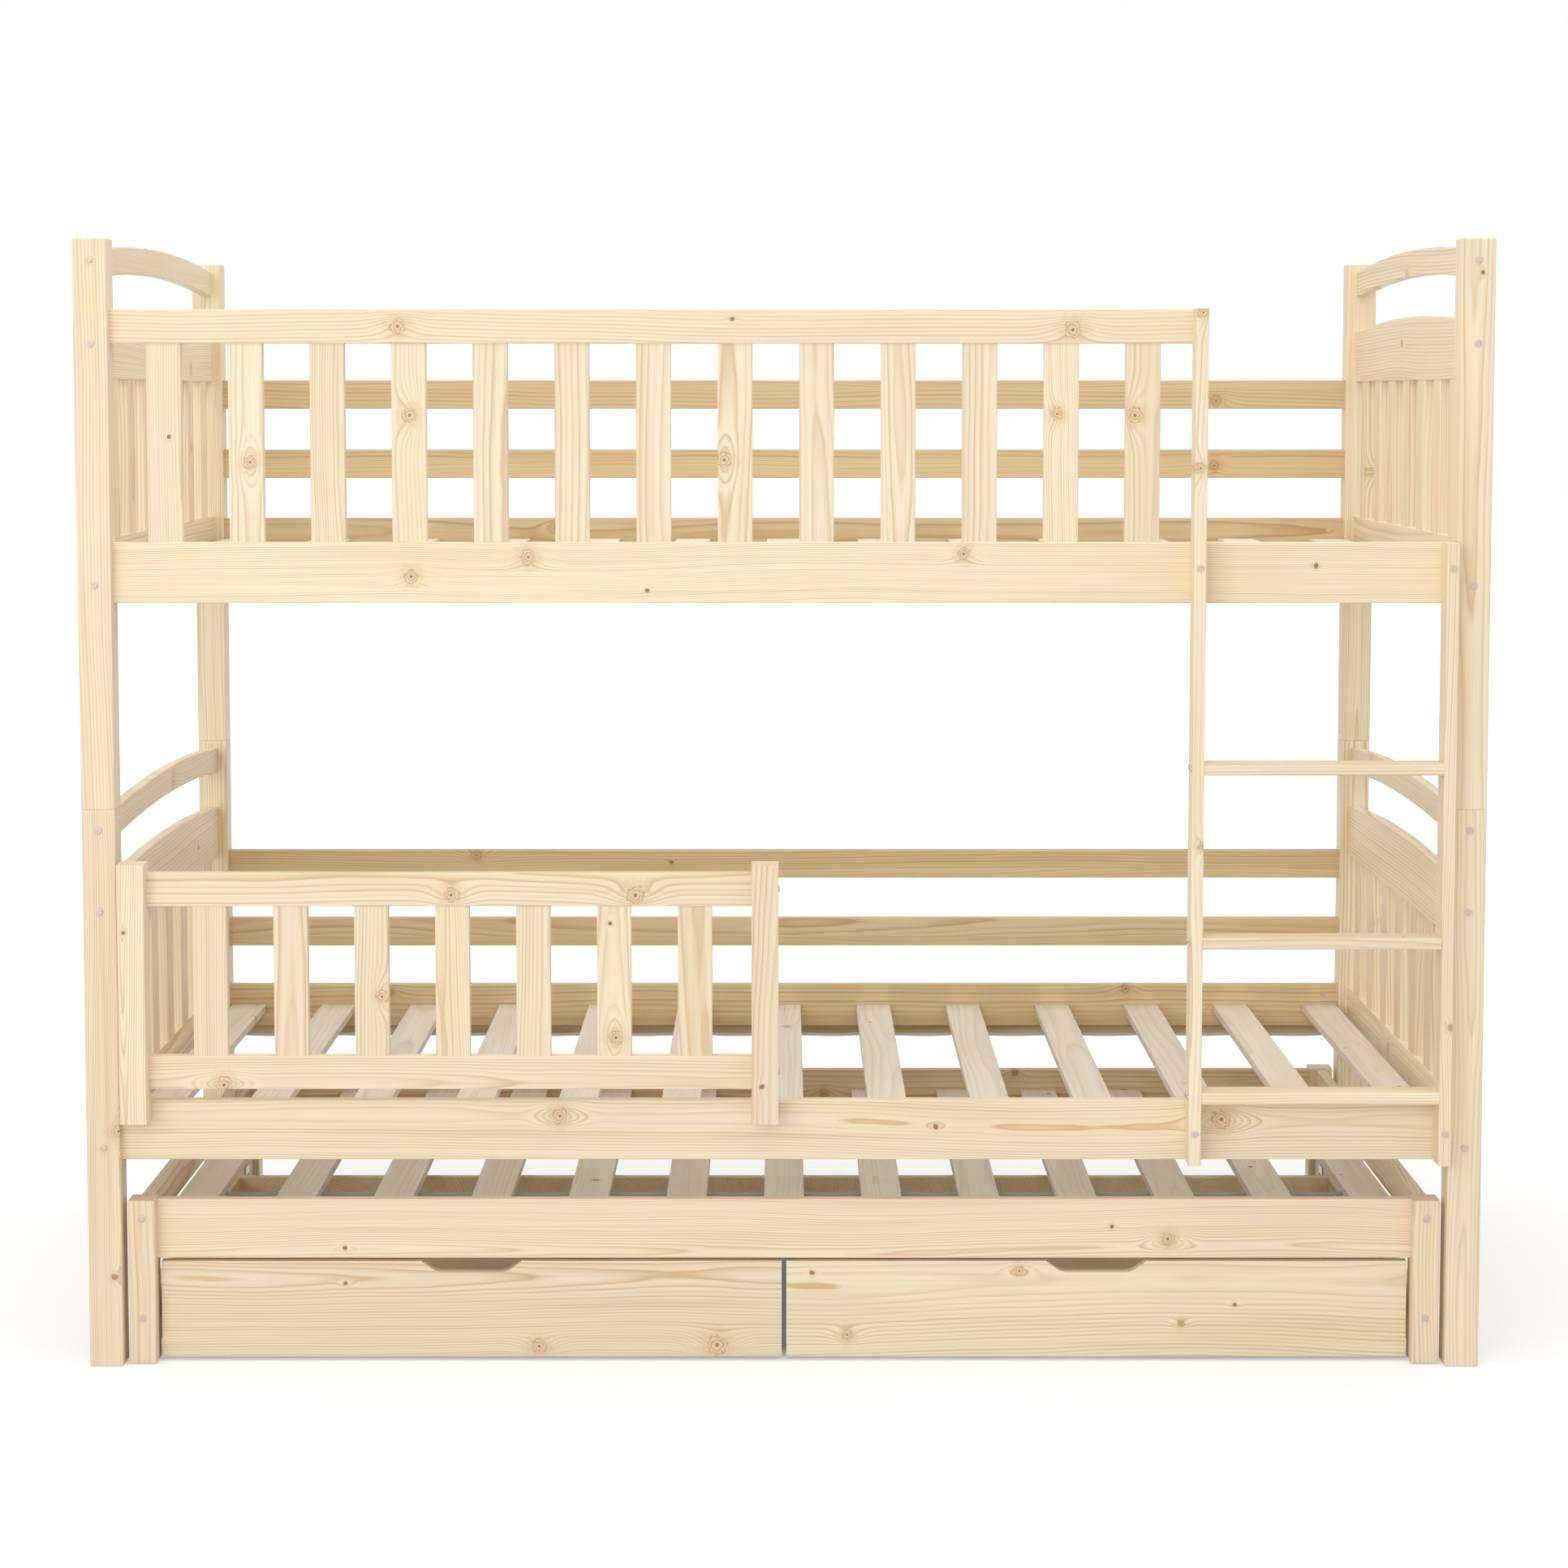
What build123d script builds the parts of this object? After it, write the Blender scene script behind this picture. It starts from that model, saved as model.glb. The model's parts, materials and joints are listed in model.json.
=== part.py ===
from build123d import *
import os

# A timber bunk bed with a ladder, a roll-out bed under it and two drawers, in millimetres.
# X runs along the beds, -Y is the front, +Z is up. The origin is on the floor, below the
# middle of the whole object, with the ladder that stands in front and the bolt heads counted.

# Overall sizes
bed_length = 2080.0
bed_depth = 980.0
unit_height = 840.0

# Posts, 50 mm wide at the front, with eased edges
post_wide = 50.0
post_deep = 45.0
post_ease = 2.0
post_end_ease = 1.0

# Bed rails between the posts
rail_thick = 20.0
rail_tall = 90.0
rail_recess = 15.0
rail_ease = 1.5
lower_rail_rise = 311.0
upper_rail_rise = 305.0

# Slat decks on ledgers
deck_drop = 36.0
bed_slat_wide = 60.0
bed_slat_thick = 14.0
bed_slat_count = 13
bed_slat_end_gap = 3.0
slat_end_play = 1.0
slat_ease = 1.5
ledger_thick = 22.0
ledger_tall = 20.0
ledger_end_gap = 5.0
tape_wide = 20.0
tape_thick = 1.0
tape_inset = 190.0
tape_end_gap = 25.0

# End panels
panel_thick = 18.0
panel_ease = 1.5
cross_rail_top = 399.0
cross_rail_tall = 90.0
head_board_bottom = 636.0
head_board_tall = 86.0
head_board_rise = 15.5
top_bar_bottom = 785.0
top_bar_tall = 42.0
top_bar_rise = 16.5
top_bar_low_ease = 1.0
end_slat_wide = 50.0
end_slat_thick = 16.0
end_slat_pitch = 121.0
end_slat_count = 7

# Guard rails at the back
back_guard_tall = 50.0
lower_back_guard_rise = 70.0
upper_back_guard_rise = 71.0
back_guard_pitch = 122.0

# Upper guard at the front
guard_top_rail_bottom = 1527.0
guard_top_rail_tall = 50.0
guard_slat_wide = 51.0
guard_slat_thick = 16.0
guard_slat_pitch = 120.0
upper_guard_first_gap = 52.5
upper_guard_slat_count = 13

# Lower guard at the front, a removable frame
guard_stile_wide = 40.0
guard_stile_deep = 40.0
guard_stile_bottom = 373.0
guard_stile_tall = 388.0
guard_post_gap = 5.5
guard_span = 976.5
guard_rail_thick = 18.0
guard_rail_tall = 50.0
guard_rail_top_drop = 15.0
guard_bottom_rail_rise = 48.5
lower_guard_first_gap = 67.0
lower_guard_slat_count = 7

# Ladder
stile_wide = 18.0
stile_deep = 46.0
stile_bottom = 312.0
ladder_span = 388.0
ladder_post_gap = 2.5
rung_thick = 18.0
rung_edge = 3.0
low_rung_top = 422.0
middle_rung_top = 653.5
high_rung_top = 912.0

# Roll-out bed
trundle_side_gap = 8.0
trundle_front_recess = 10.0
trundle_post = 40.0
trundle_floor_gap = 2.0
trundle_top = 249.0
trundle_rail_recess = 20.0
trundle_rail_thick = 18.0
trundle_rail_bottom = 157.0
trundle_rail_tall = 90.0
trundle_end_rail_tall = 50.0
trundle_upper_bolt = 222.0
trundle_lower_bolt = 71.0
trundle_slat_wide = 62.0
trundle_slat_top = 212.0
trundle_slat_end_gap = 2.0
trundle_tape_inset = 210.0

# Drawers in the roll-out bed
drawer_centre_gap = 6.8
drawer_post_gap = 5.0
drawer_front_thick = 17.0
drawer_front_bottom = 5.0
drawer_front_top = 152.0
drawer_depth = 580.0
drawer_side_inset = 5.0
drawer_wall = 16.0
drawer_wall_bottom = 14.0
drawer_wall_top = 138.6
drawer_bottom_rise = 32.0
drawer_bottom_thick = 4.0
groove_deep = 6.0
groove_play = 0.2
hold_wide = 151.0
hold_floor = 106.0
hold_deep = 17.0
hold_round = 28.0
cap_radius = 4.8
cap_proud = 1.6
cap_setback = 14.0
cap_low = 81.0
cap_high = 124.0

# Castors
trundle_wheel_radius = 20.0
trundle_wheel_wide = 13.0
trundle_axle_radius = 3.0
trundle_wheel_setback = 70.0
bracket_thick = 2.5
bracket_wide = 34.0
bracket_top = 90.0
bracket_bottom = 11.0
wheel_side_play = 0.5
axle_head = 1.0
drawer_wheel_radius = 14.0
drawer_wheel_wide = 12.0
drawer_axle_radius = 3.0
drawer_wheel_front_setback = 60.0
drawer_wheel_back_setback = 60.0
housing_wide = 26.0
housing_long = 36.0
housing_bottom = 9.0
housing_side_gap = 6.0
running_fit = 0.08
wheel_top_play = 1.0
stub_short = 1.0
wheel_hub_wall = 4.0
wheel_dish = 2.5
trundle_wheel_tread = 4.0
drawer_wheel_tread = 2.8

# Fasteners
bolt_radius = 3.0
bolt_head_radius = 5.0
bolt_head_proud = 1.5
bolt_hole = 3.5
bolt_reach = 40.0
nut_radius = 5.0
nut_length = 15.0
nut_setback = 30.0
rail_nut_setback = 26.0
rail_nut_drop = 20.0
fit_play = 0.1
dowel_radius = 4.0
dowel_half = 18.0
rail_dowel_rise = 25.0
cross_bolt_drop = 67.0
cross_dowel_drop = 37.0
head_bolt_rise = 51.0
head_dowel_rise = 19.0
top_bolt_rise = 24.0
pin_radius = 5.0
pin_above_seam = 40.0
pin_below_seam = 24.0
lock_screw_offset = 15.0
screw_radius = 2.0
screw_head_radius = 4.0
screw_head_tall = 2.0
pan_head_tall = 1.5
ladder_bolt_drop = 36.0
ladder_bolt_rise = 49.0
insert_radius = 4.5
insert_length = 15.0
bolt_head_taper = 20.0
bolt_sink = 3.0
rail_bolt_reach = 35.0
hole_over = 1.0
lock_screw_tip_gap = 0.5
guard_screw_bite = 24.0
guard_screw_spread = 12.0
stile_screw_bite = 23.0
stile_screw_spread = 12.5
rung_screw_bite = 40.0
rung_screw_spread = 11.5
bracket_screw_bite = 12.5
bracket_screw_spread = 8.5

# Places worked out from the sizes
half_length = bed_length / 2
inner_x = half_length - post_wide
post_x = half_length - post_wide / 2
ladder_proud = stile_deep - rail_recess
overall_depth = bed_depth + ladder_proud + 2 * bolt_head_proud
front_y = -overall_depth / 2 + bolt_head_proud + ladder_proud
back_y = front_y + bed_depth
rail_front_y = front_y + rail_recess
rail_back_y = back_y - rail_recess
lower_rail_bottom = lower_rail_rise
upper_rail_bottom = unit_height + upper_rail_rise
seam_z = unit_height
panel_outer_x = post_x + panel_thick / 2
panel_inner_x = post_x - panel_thick / 2
panel_y = (front_y + post_deep, back_y - post_deep)
left, right = -1, 1
sides = {"left": left, "right": right}
units = {"lower": 0.0, "upper": unit_height}
rail_bottoms = {"lower": lower_rail_bottom, "upper": upper_rail_bottom}

os.makedirs("parts", exist_ok=True)


def mirrored(side, a, b):
    """The span from a to b on the right half, or its mirror image on the left half."""
    return (min(side * a, side * b), max(side * a, side * b))


def middle(span):
    """The middle of a span."""
    return (span[0] + span[1]) / 2


def section(plane, u, v, ease):
    """A rectangle over two spans of a plane, its four corners eased."""
    with BuildSketch(plane) as profile:
        with Locations((middle(u), middle(v))):
            RectangleRounded(u[1] - u[0], v[1] - v[0], ease)
    return profile.sketch


def along_x(x, y, z, ease=rail_ease):
    """A board that runs along X over three spans."""
    extrude(section(Plane.YZ.offset(x[0]), y, z, ease), amount=x[1] - x[0])


def along_y(x, y, z, ease=rail_ease):
    """A board that runs along Y over three spans."""
    extrude(section(Plane.XZ.offset(-y[1]), x, z, ease), amount=y[1] - y[0])


def along_z(x, y, z, ease=rail_ease):
    """A board that runs along Z over three spans."""
    extrude(section(Plane.XY.offset(z[0]), x, y, ease), amount=z[1] - z[0])


def block(x, y, z, mode=Mode.ADD):
    """A block with sharp edges over three spans."""
    with BuildSketch(Plane.XY.offset(z[0])) as profile:
        with Locations((middle(x), middle(y))):
            Rectangle(x[1] - x[0], y[1] - y[0])
    extrude(profile.sketch, amount=z[1] - z[0], mode=mode)


def rod(plane, places, radius, length, mode=Mode.ADD):
    """Round rods, or holes, from a plane along its normal, one at each place."""
    with BuildSketch(plane) as profile:
        with Locations(*places):
            Circle(radius)
    extrude(profile.sketch, amount=length, mode=mode)


def hole(plane, places, radius, length):
    """Round holes from a plane along its normal, one at each place."""
    rod(plane, places, radius, length, Mode.SUBTRACT)


def to_x(x, way):
    """A plane across X whose normal points along +X or -X, with Y and Z as its sizes."""
    return Plane(origin=(x, 0, 0), x_dir=(0, way, 0), z_dir=(way, 0, 0))


def to_y(y, way):
    """A plane across Y whose normal points along +Y or -Y, with X and Z as its sizes."""
    return Plane(origin=(0, y, 0), x_dir=(-way, 0, 0), z_dir=(0, way, 0))


def at_x(way, y, z):
    """A place on a plane made by to_x."""
    return (way * y, z)


def at_y(way, x, z):
    """A place on a plane made by to_y."""
    return (-way * x, z)


def bolt(plane, place, length):
    """A bolt that goes in along the plane's normal, its domed head behind the plane."""
    rod(plane, [place], bolt_radius, length)
    with BuildSketch(plane) as profile:
        with Locations(place):
            Circle(bolt_head_radius)
    extrude(profile.sketch, amount=-bolt_head_proud, taper=bolt_head_taper)


def screw(plane, place, length):
    """A screw that goes in along the plane's normal, its head flush with the plane."""
    rod(plane, [place], screw_head_radius, screw_head_tall)
    rod(plane, [place], screw_radius, length)


def pan_screw(plane, places, length):
    """Screws that go in along the plane's normal, their heads behind the plane."""
    rod(plane, places, screw_radius, length)
    rod(plane, places, screw_head_radius, -pan_head_tall)


def screw_hole(plane, place, length):
    """The hole of a screw with its head flush with the plane."""
    hole(plane, [place], screw_head_radius + fit_play, screw_head_tall)
    hole(plane, [place], screw_radius + fit_play, length + 2 * fit_play)


def finish(part, name):
    """Labels a piece and writes it to its own file."""
    part.label = name
    export_step(part, f"parts/{name}.step")


# Heights of the joints of one end panel above the foot of its unit
cross_rail_bottom = cross_rail_top - cross_rail_tall
panel_bolts = [
    cross_rail_top - cross_bolt_drop,
    head_board_bottom + head_bolt_rise,
    top_bar_bottom + top_bolt_rise,
]
panel_dowels = [cross_rail_top - cross_dowel_drop, head_board_bottom + head_dowel_rise]

# Heights of the back guard rails, lowest edge, on each level
back_guard_bottoms = {
    "lower": [lower_rail_bottom + rail_tall + lower_back_guard_rise],
    "upper": [upper_rail_bottom + rail_tall + upper_back_guard_rise],
}
for bottoms in back_guard_bottoms.values():
    bottoms.append(bottoms[0] + back_guard_pitch)

guard_rail_middle_y = rail_front_y + rail_thick / 2
back_rail_middle_y = rail_back_y - rail_thick / 2
top_rail_middle_z = guard_top_rail_bottom + guard_top_rail_tall / 2


def dowels_into_post(unit, face, side):
    """Heights of the dowels that enter a post from the rails between the posts."""
    heights = [rail_bottoms[unit] + rail_dowel_rise]
    if face == "back":
        heights += [low + back_guard_tall / 2 for low in back_guard_bottoms[unit]]
    if (unit, face, side) == ("upper", "front", "left"):
        heights.append(top_rail_middle_z)
    return heights


# Length of the screws that hold the connecting pins
lock_screw_length = post_wide / 2 - pin_radius - lock_screw_tip_gap

# Posts
for unit, foot in units.items():
    for face, way in {"front": 1, "back": -1}.items():
        outer_y = front_y if face == "front" else back_y
        inner_y = outer_y + way * post_deep
        rail_y = outer_y + way * (rail_recess + rail_thick / 2)
        post_middle_y = outer_y + way * post_deep / 2
        for side_name, side in sides.items():
            rail_bolt_z = rail_bottoms[unit] + rail_tall - rail_nut_drop
            with BuildPart() as post:
                along_z(
                    mirrored(side, inner_x, half_length),
                    (min(outer_y, inner_y), max(outer_y, inner_y)),
                    (foot, foot + unit_height),
                    post_ease,
                )
                chamfer(post.faces().sort_by(Axis.Z)[-1].edges(), post_end_ease)
                chamfer(post.faces().sort_by(Axis.Z)[0].edges(), post_end_ease)
                bolts = [at_y(way, side * post_x, foot + z) for z in panel_bolts]
                hole(to_y(outer_y, way), bolts, bolt_hole, post_deep)
                pegs = [at_y(-way, side * post_x, foot + z) for z in panel_dowels]
                hole(to_y(inner_y, -way), pegs, dowel_radius + fit_play, dowel_half + hole_over)
                pegs = [at_x(side, rail_y, z) for z in dowels_into_post(unit, face, side_name)]
                hole(to_x(side * inner_x, side), pegs, dowel_radius + fit_play, dowel_half + hole_over)
                through = at_x(-side, rail_y, rail_bolt_z)
                hole(to_x(side * half_length, -side), [through], bolt_hole, post_wide)
                sunk = bolt_head_radius + fit_play
                hole(to_x(side * half_length, -side), [through], sunk, bolt_sink)
                centre = (side * post_x, post_middle_y)
                seam_way = 1 if unit == "upper" else -1
                pin_reach = pin_above_seam if unit == "upper" else pin_below_seam
                with BuildSketch(Plane.XY.offset(seam_z)):
                    with Locations(centre):
                        Circle(pin_radius + fit_play)
                extrude(amount=seam_way * (pin_reach + fit_play), mode=Mode.SUBTRACT)
                lock = at_x(side, post_middle_y, seam_z + seam_way * lock_screw_offset)
                screw_hole(to_x(side * inner_x, side), lock, lock_screw_length)
            finish(post.part, f"{unit}_post_{face}_{side_name}")

# End panels: cross rails, head boards and top bars between the posts at each end


def panel_joint_holes(side, foot, bolt_z, dowel_z=None):
    """Bolt, nut and dowel holes in both ends of one board of an end panel."""
    for way, end_y in ((1, panel_y[0]), (-1, panel_y[1])):
        hole(to_y(end_y, way), [at_y(way, side * post_x, foot + bolt_z)], bolt_hole, bolt_reach + hole_over)
        nut_place = at_x(-side, end_y + way * nut_setback, foot + bolt_z)
        nut_plane = to_x(side * panel_outer_x, -side)
        hole(nut_plane, [nut_place], nut_radius + fit_play, nut_length + fit_play)
        if dowel_z is not None:
            peg = at_y(way, side * post_x, foot + dowel_z)
            hole(to_y(end_y, way), [peg], dowel_radius + fit_play, dowel_half + hole_over)


def arched_board(side, bottom, tall, bottom_rise, top_rise):
    """A board of an end panel whose edges bow upwards by the given rises."""
    start, end = panel_y
    centre = middle(panel_y)
    low_x = min(side * panel_inner_x, side * panel_outer_x)
    with BuildSketch(Plane.YZ.offset(low_x)) as profile:
        with BuildLine():
            if bottom_rise:
                ThreePointArc((start, bottom), (centre, bottom + bottom_rise), (end, bottom))
            else:
                Line((start, bottom), (end, bottom))
            Line((end, bottom), (end, bottom + tall))
            top = bottom + tall
            ThreePointArc((end, top), (centre, top + top_rise), (start, top))
            Line((start, top), (start, bottom))
        make_face()
    extrude(profile.sketch, amount=panel_thick)


with BuildPart() as end_cross_rails:
    for foot in units.values():
        for side in (left, right):
            along_y(
                mirrored(side, panel_inner_x, panel_outer_x),
                panel_y,
                (foot + cross_rail_bottom, foot + cross_rail_top),
                panel_ease,
            )
            panel_joint_holes(side, foot, panel_bolts[0], panel_dowels[0])
finish(end_cross_rails.part, "end_cross_rails")

with BuildPart() as end_head_boards:
    for foot in units.values():
        for side in (left, right):
            arched_board(side, foot + head_board_bottom, head_board_tall, 0, head_board_rise)
    fillet(end_head_boards.edges().filter_by(GeomType.CIRCLE), panel_ease)
    for foot in units.values():
        for side in (left, right):
            panel_joint_holes(side, foot, panel_bolts[1], panel_dowels[1])
finish(end_head_boards.part, "end_head_boards")

with BuildPart() as end_top_bars:
    for foot in units.values():
        for side in (left, right):
            arched_board(side, foot + top_bar_bottom, top_bar_tall, top_bar_rise, top_bar_rise)
    for foot in units.values():
        low = foot + top_bar_bottom
        centre = low + top_bar_rise + top_bar_tall / 2
        arcs = end_top_bars.edges().filter_by(GeomType.CIRCLE)
        fillet(arcs.filter_by_position(Axis.Z, centre, centre + top_bar_tall), panel_ease)
        arcs = end_top_bars.edges().filter_by(GeomType.CIRCLE)
        chamfer(arcs.filter_by_position(Axis.Z, low, centre), top_bar_low_ease)
    for foot in units.values():
        for side in (left, right):
            panel_joint_holes(side, foot, panel_bolts[2])
finish(end_top_bars.part, "end_top_bars")

with BuildPart() as end_slats:
    for foot in units.values():
        for side in (left, right):
            for place in range(end_slat_count):
                slat_y = middle(panel_y) + (place - (end_slat_count - 1) / 2) * end_slat_pitch
                along_z(
                    mirrored(side, post_x - end_slat_thick / 2, post_x + end_slat_thick / 2),
                    (slat_y - end_slat_wide / 2, slat_y + end_slat_wide / 2),
                    (foot + cross_rail_top, foot + head_board_bottom),
                    slat_ease,
                )
finish(end_slats.part, "end_slats")

# Ladder places
right_stile_x = (inner_x - ladder_post_gap - stile_wide, inner_x - ladder_post_gap)
left_stile_x = (right_stile_x[1] - ladder_span, right_stile_x[1] - ladder_span + stile_wide)
stile_y = (rail_front_y - stile_deep, rail_front_y)
upper_rail_top = upper_rail_bottom + rail_tall
guard_top = guard_top_rail_bottom + guard_top_rail_tall
ladder_bolt_heights = [
    upper_rail_top - ladder_bolt_drop,
    lower_rail_bottom + ladder_bolt_rise,
]

# Lower guard places
guard_left_x = (-inner_x + guard_post_gap, -inner_x + guard_post_gap + guard_stile_wide)
guard_right_x = (guard_left_x[0] + guard_span - guard_stile_wide, guard_left_x[0] + guard_span)
guard_stile_y = (rail_front_y - guard_stile_deep, rail_front_y)
guard_rail_y = (rail_front_y - guard_rail_thick, rail_front_y)
guard_stile_z = (guard_stile_bottom, guard_stile_bottom + guard_stile_tall)
guard_top_z = (
    guard_stile_z[1] - guard_rail_top_drop - guard_rail_tall,
    guard_stile_z[1] - guard_rail_top_drop,
)
guard_bottom_z = (
    guard_stile_bottom + guard_bottom_rail_rise,
    guard_stile_bottom + guard_bottom_rail_rise + guard_rail_tall,
)
guard_screw_z = (guard_stile_bottom + lower_rail_bottom + rail_tall) / 2
guard_screw_length = rail_thick + guard_screw_bite
guard_screw_spots = [
    (middle(stile) + shift, guard_screw_z)
    for stile in (guard_left_x, guard_right_x)
    for shift in (-guard_screw_spread, guard_screw_spread)
]
stile_screw_length = rail_thick + stile_screw_bite
stile_screw_spots = [
    (middle(left_stile_x), top_rail_middle_z - stile_screw_spread),
    (middle(left_stile_x), top_rail_middle_z + stile_screw_spread),
]

# Bed rails
for unit, bottom in rail_bottoms.items():
    for face, way in {"front": 1, "back": -1}.items():
        outer_y = rail_front_y if face == "front" else rail_back_y
        inner_y = outer_y + way * rail_thick
        rail_y = outer_y + way * rail_thick / 2
        nut_z = bottom + rail_tall - rail_nut_drop
        with BuildPart() as rail:
            along_x(
                (-inner_x, inner_x),
                (min(outer_y, inner_y), max(outer_y, inner_y)),
                (bottom, bottom + rail_tall),
            )
            for side in (left, right):
                mouth = to_x(side * inner_x, -side)
                hole(mouth, [at_x(-side, rail_y, nut_z)], bolt_hole, bolt_reach)
                peg = at_x(-side, rail_y, bottom + rail_dowel_rise)
                hole(mouth, [peg], dowel_radius + fit_play, dowel_half + hole_over)
                nut = at_y(-way, side * (inner_x - rail_nut_setback), nut_z)
                hole(to_y(inner_y, -way), [nut], nut_radius + fit_play, nut_length + fit_play)
            if face == "front":
                height = ladder_bolt_heights[0] if unit == "upper" else ladder_bolt_heights[1]
                spots = [at_y(1, middle(x), height) for x in (left_stile_x, right_stile_x)]
                hole(to_y(outer_y, 1), spots, insert_radius + fit_play, insert_length + hole_over)
                if unit == "lower":
                    for x, z in guard_screw_spots:
                        screw_hole(to_y(inner_y, -1), at_y(-1, x, z), guard_screw_length)
        finish(rail.part, f"{unit}_{face}_rail")

# Back guard rails
with BuildPart() as back_guard_rails:
    for bottoms in back_guard_bottoms.values():
        for bottom in bottoms:
            along_x(
                (-inner_x, inner_x),
                (rail_back_y - rail_thick, rail_back_y),
                (bottom, bottom + back_guard_tall),
            )
            for side in (left, right):
                peg = at_x(-side, back_rail_middle_y, bottom + back_guard_tall / 2)
                mouth = to_x(side * inner_x, -side)
                hole(mouth, [peg], dowel_radius + fit_play, dowel_half + hole_over)
finish(back_guard_rails.part, "back_guard_rails")

# Upper guard: a top rail and the slats that stand on the bed rail
with BuildPart() as upper_guard_top_rail:
    along_x(
        (-inner_x, left_stile_x[1]),
        (rail_front_y, rail_front_y + rail_thick),
        (guard_top_rail_bottom, guard_top),
    )
    peg = at_x(1, guard_rail_middle_y, top_rail_middle_z)
    hole(to_x(-inner_x, 1), [peg], dowel_radius + fit_play, dowel_half + hole_over)
    for x, z in stile_screw_spots:
        screw_hole(to_y(rail_front_y + rail_thick, -1), at_y(-1, x, z), stile_screw_length)
finish(upper_guard_top_rail.part, "upper_guard_top_rail")

guard_slat_y = (
    guard_rail_middle_y - guard_slat_thick / 2,
    guard_rail_middle_y + guard_slat_thick / 2,
)
with BuildPart() as upper_guard_slats:
    for place in range(upper_guard_slat_count):
        low_x = -inner_x + upper_guard_first_gap + place * guard_slat_pitch
        along_z(
            (low_x, low_x + guard_slat_wide),
            guard_slat_y,
            (upper_rail_top, guard_top_rail_bottom),
            slat_ease,
        )
finish(upper_guard_slats.part, "upper_guard_slats")

# Lower guard: two stiles, two rails and the slats between them
guard_bolt_heights = [middle(guard_top_z), middle(guard_bottom_z)]
guard_bolt_reach = guard_stile_wide + bolt_reach
with BuildPart() as lower_guard_stiles:
    for stile, way in ((guard_left_x, 1), (guard_right_x, -1)):
        along_z(stile, guard_stile_y, guard_stile_z, rail_ease)
        outer_x = stile[0] if way == 1 else stile[1]
        spots = [at_x(way, middle(guard_rail_y), z) for z in guard_bolt_heights]
        hole(to_x(outer_x, way), spots, bolt_hole, guard_stile_wide)
    for x, z in guard_screw_spots:
        spot = at_y(-1, x, z)
        depth = guard_screw_length - rail_thick + 2 * fit_play
        hole(to_y(rail_front_y, -1), [spot], screw_radius + fit_play, depth)
finish(lower_guard_stiles.part, "lower_guard_stiles")

with BuildPart() as lower_guard_rails:
    for z in (guard_top_z, guard_bottom_z):
        along_x((guard_left_x[1], guard_right_x[0]), guard_rail_y, z)
        for end_x, way in ((guard_left_x[1], 1), (guard_right_x[0], -1)):
            spot = at_x(way, middle(guard_rail_y), middle(z))
            hole(to_x(end_x, way), [spot], bolt_radius + fit_play, bolt_reach + hole_over)
finish(lower_guard_rails.part, "lower_guard_rails")

lower_slat_y = (
    middle(guard_rail_y) - guard_slat_thick / 2,
    middle(guard_rail_y) + guard_slat_thick / 2,
)
with BuildPart() as lower_guard_slats:
    for place in range(lower_guard_slat_count):
        low_x = guard_left_x[1] + lower_guard_first_gap + place * guard_slat_pitch
        along_z(
            (low_x, low_x + guard_slat_wide),
            lower_slat_y,
            (guard_bottom_z[1], guard_top_z[0]),
            slat_ease,
        )
finish(lower_guard_slats.part, "lower_guard_slats")

# Ladder
rung_tops = [low_rung_top, middle_rung_top, high_rung_top]
rung_middles = [top - rung_thick / 2 for top in rung_tops]
rung_screw_length = stile_wide + rung_screw_bite
rung_screw_y = [middle(stile_y) - rung_screw_spread, middle(stile_y) + rung_screw_spread]
stile_tops = {"left": guard_top, "right": upper_rail_top}
stile_spans = {"left": left_stile_x, "right": right_stile_x}
for side_name, way in (("left", 1), ("right", -1)):
    span = stile_spans[side_name]
    outer_x = span[0] if way == 1 else span[1]
    with BuildPart() as ladder_stile:
        along_z(span, stile_y, (stile_bottom, stile_tops[side_name]), rail_ease)
        spots = [at_y(1, middle(span), z) for z in ladder_bolt_heights]
        hole(to_y(stile_y[0], 1), spots, bolt_hole, stile_deep)
        spots = [at_x(way, y, z) for z in rung_middles for y in rung_screw_y]
        hole(to_x(outer_x, way), spots, screw_radius + fit_play, stile_wide)
        if side_name == "left":
            spots = [at_y(-1, x, z) for x, z in stile_screw_spots]
            depth = stile_screw_length - rail_thick + 2 * fit_play
            hole(to_y(stile_y[1], -1), spots, screw_radius + fit_play, depth)
    finish(ladder_stile.part, f"ladder_stile_{side_name}")

with BuildPart() as ladder_rungs:
    for top in rung_tops:
        along_x(
            (left_stile_x[1], right_stile_x[0]),
            stile_y,
            (top - rung_thick, top),
            rung_edge,
        )
        spots = [at_x(1, y, top - rung_thick / 2) for y in rung_screw_y]
        depth = rung_screw_length - stile_wide + 2 * fit_play
        hole(to_x(left_stile_x[1], 1), spots, screw_radius + fit_play, depth)
        spots = [at_x(-1, y, top - rung_thick / 2) for y in rung_screw_y]
        hole(to_x(right_stile_x[0], -1), spots, screw_radius + fit_play, depth)
finish(ladder_rungs.part, "ladder_rungs")

# Slat decks of the two bunks, with the ledgers and tapes under the slats
deck_y = (rail_front_y + rail_thick, rail_back_y - rail_thick)
slat_first_x = -inner_x + bed_slat_end_gap + bed_slat_wide / 2
bed_slat_pitch = -2 * slat_first_x / (bed_slat_count - 1)
slat_bottoms = {
    unit: bottom + rail_tall - deck_drop - bed_slat_thick for unit, bottom in rail_bottoms.items()
}
with BuildPart() as slat_ledgers:
    for slat_bottom in slat_bottoms.values():
        for edge, way in ((deck_y[0], 1), (deck_y[1], -1)):
            inner = edge + way * ledger_thick
            along_x(
                (-inner_x + ledger_end_gap, inner_x - ledger_end_gap),
                (min(edge, inner), max(edge, inner)),
                (slat_bottom - ledger_tall, slat_bottom),
            )
finish(slat_ledgers.part, "slat_ledgers")

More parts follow.
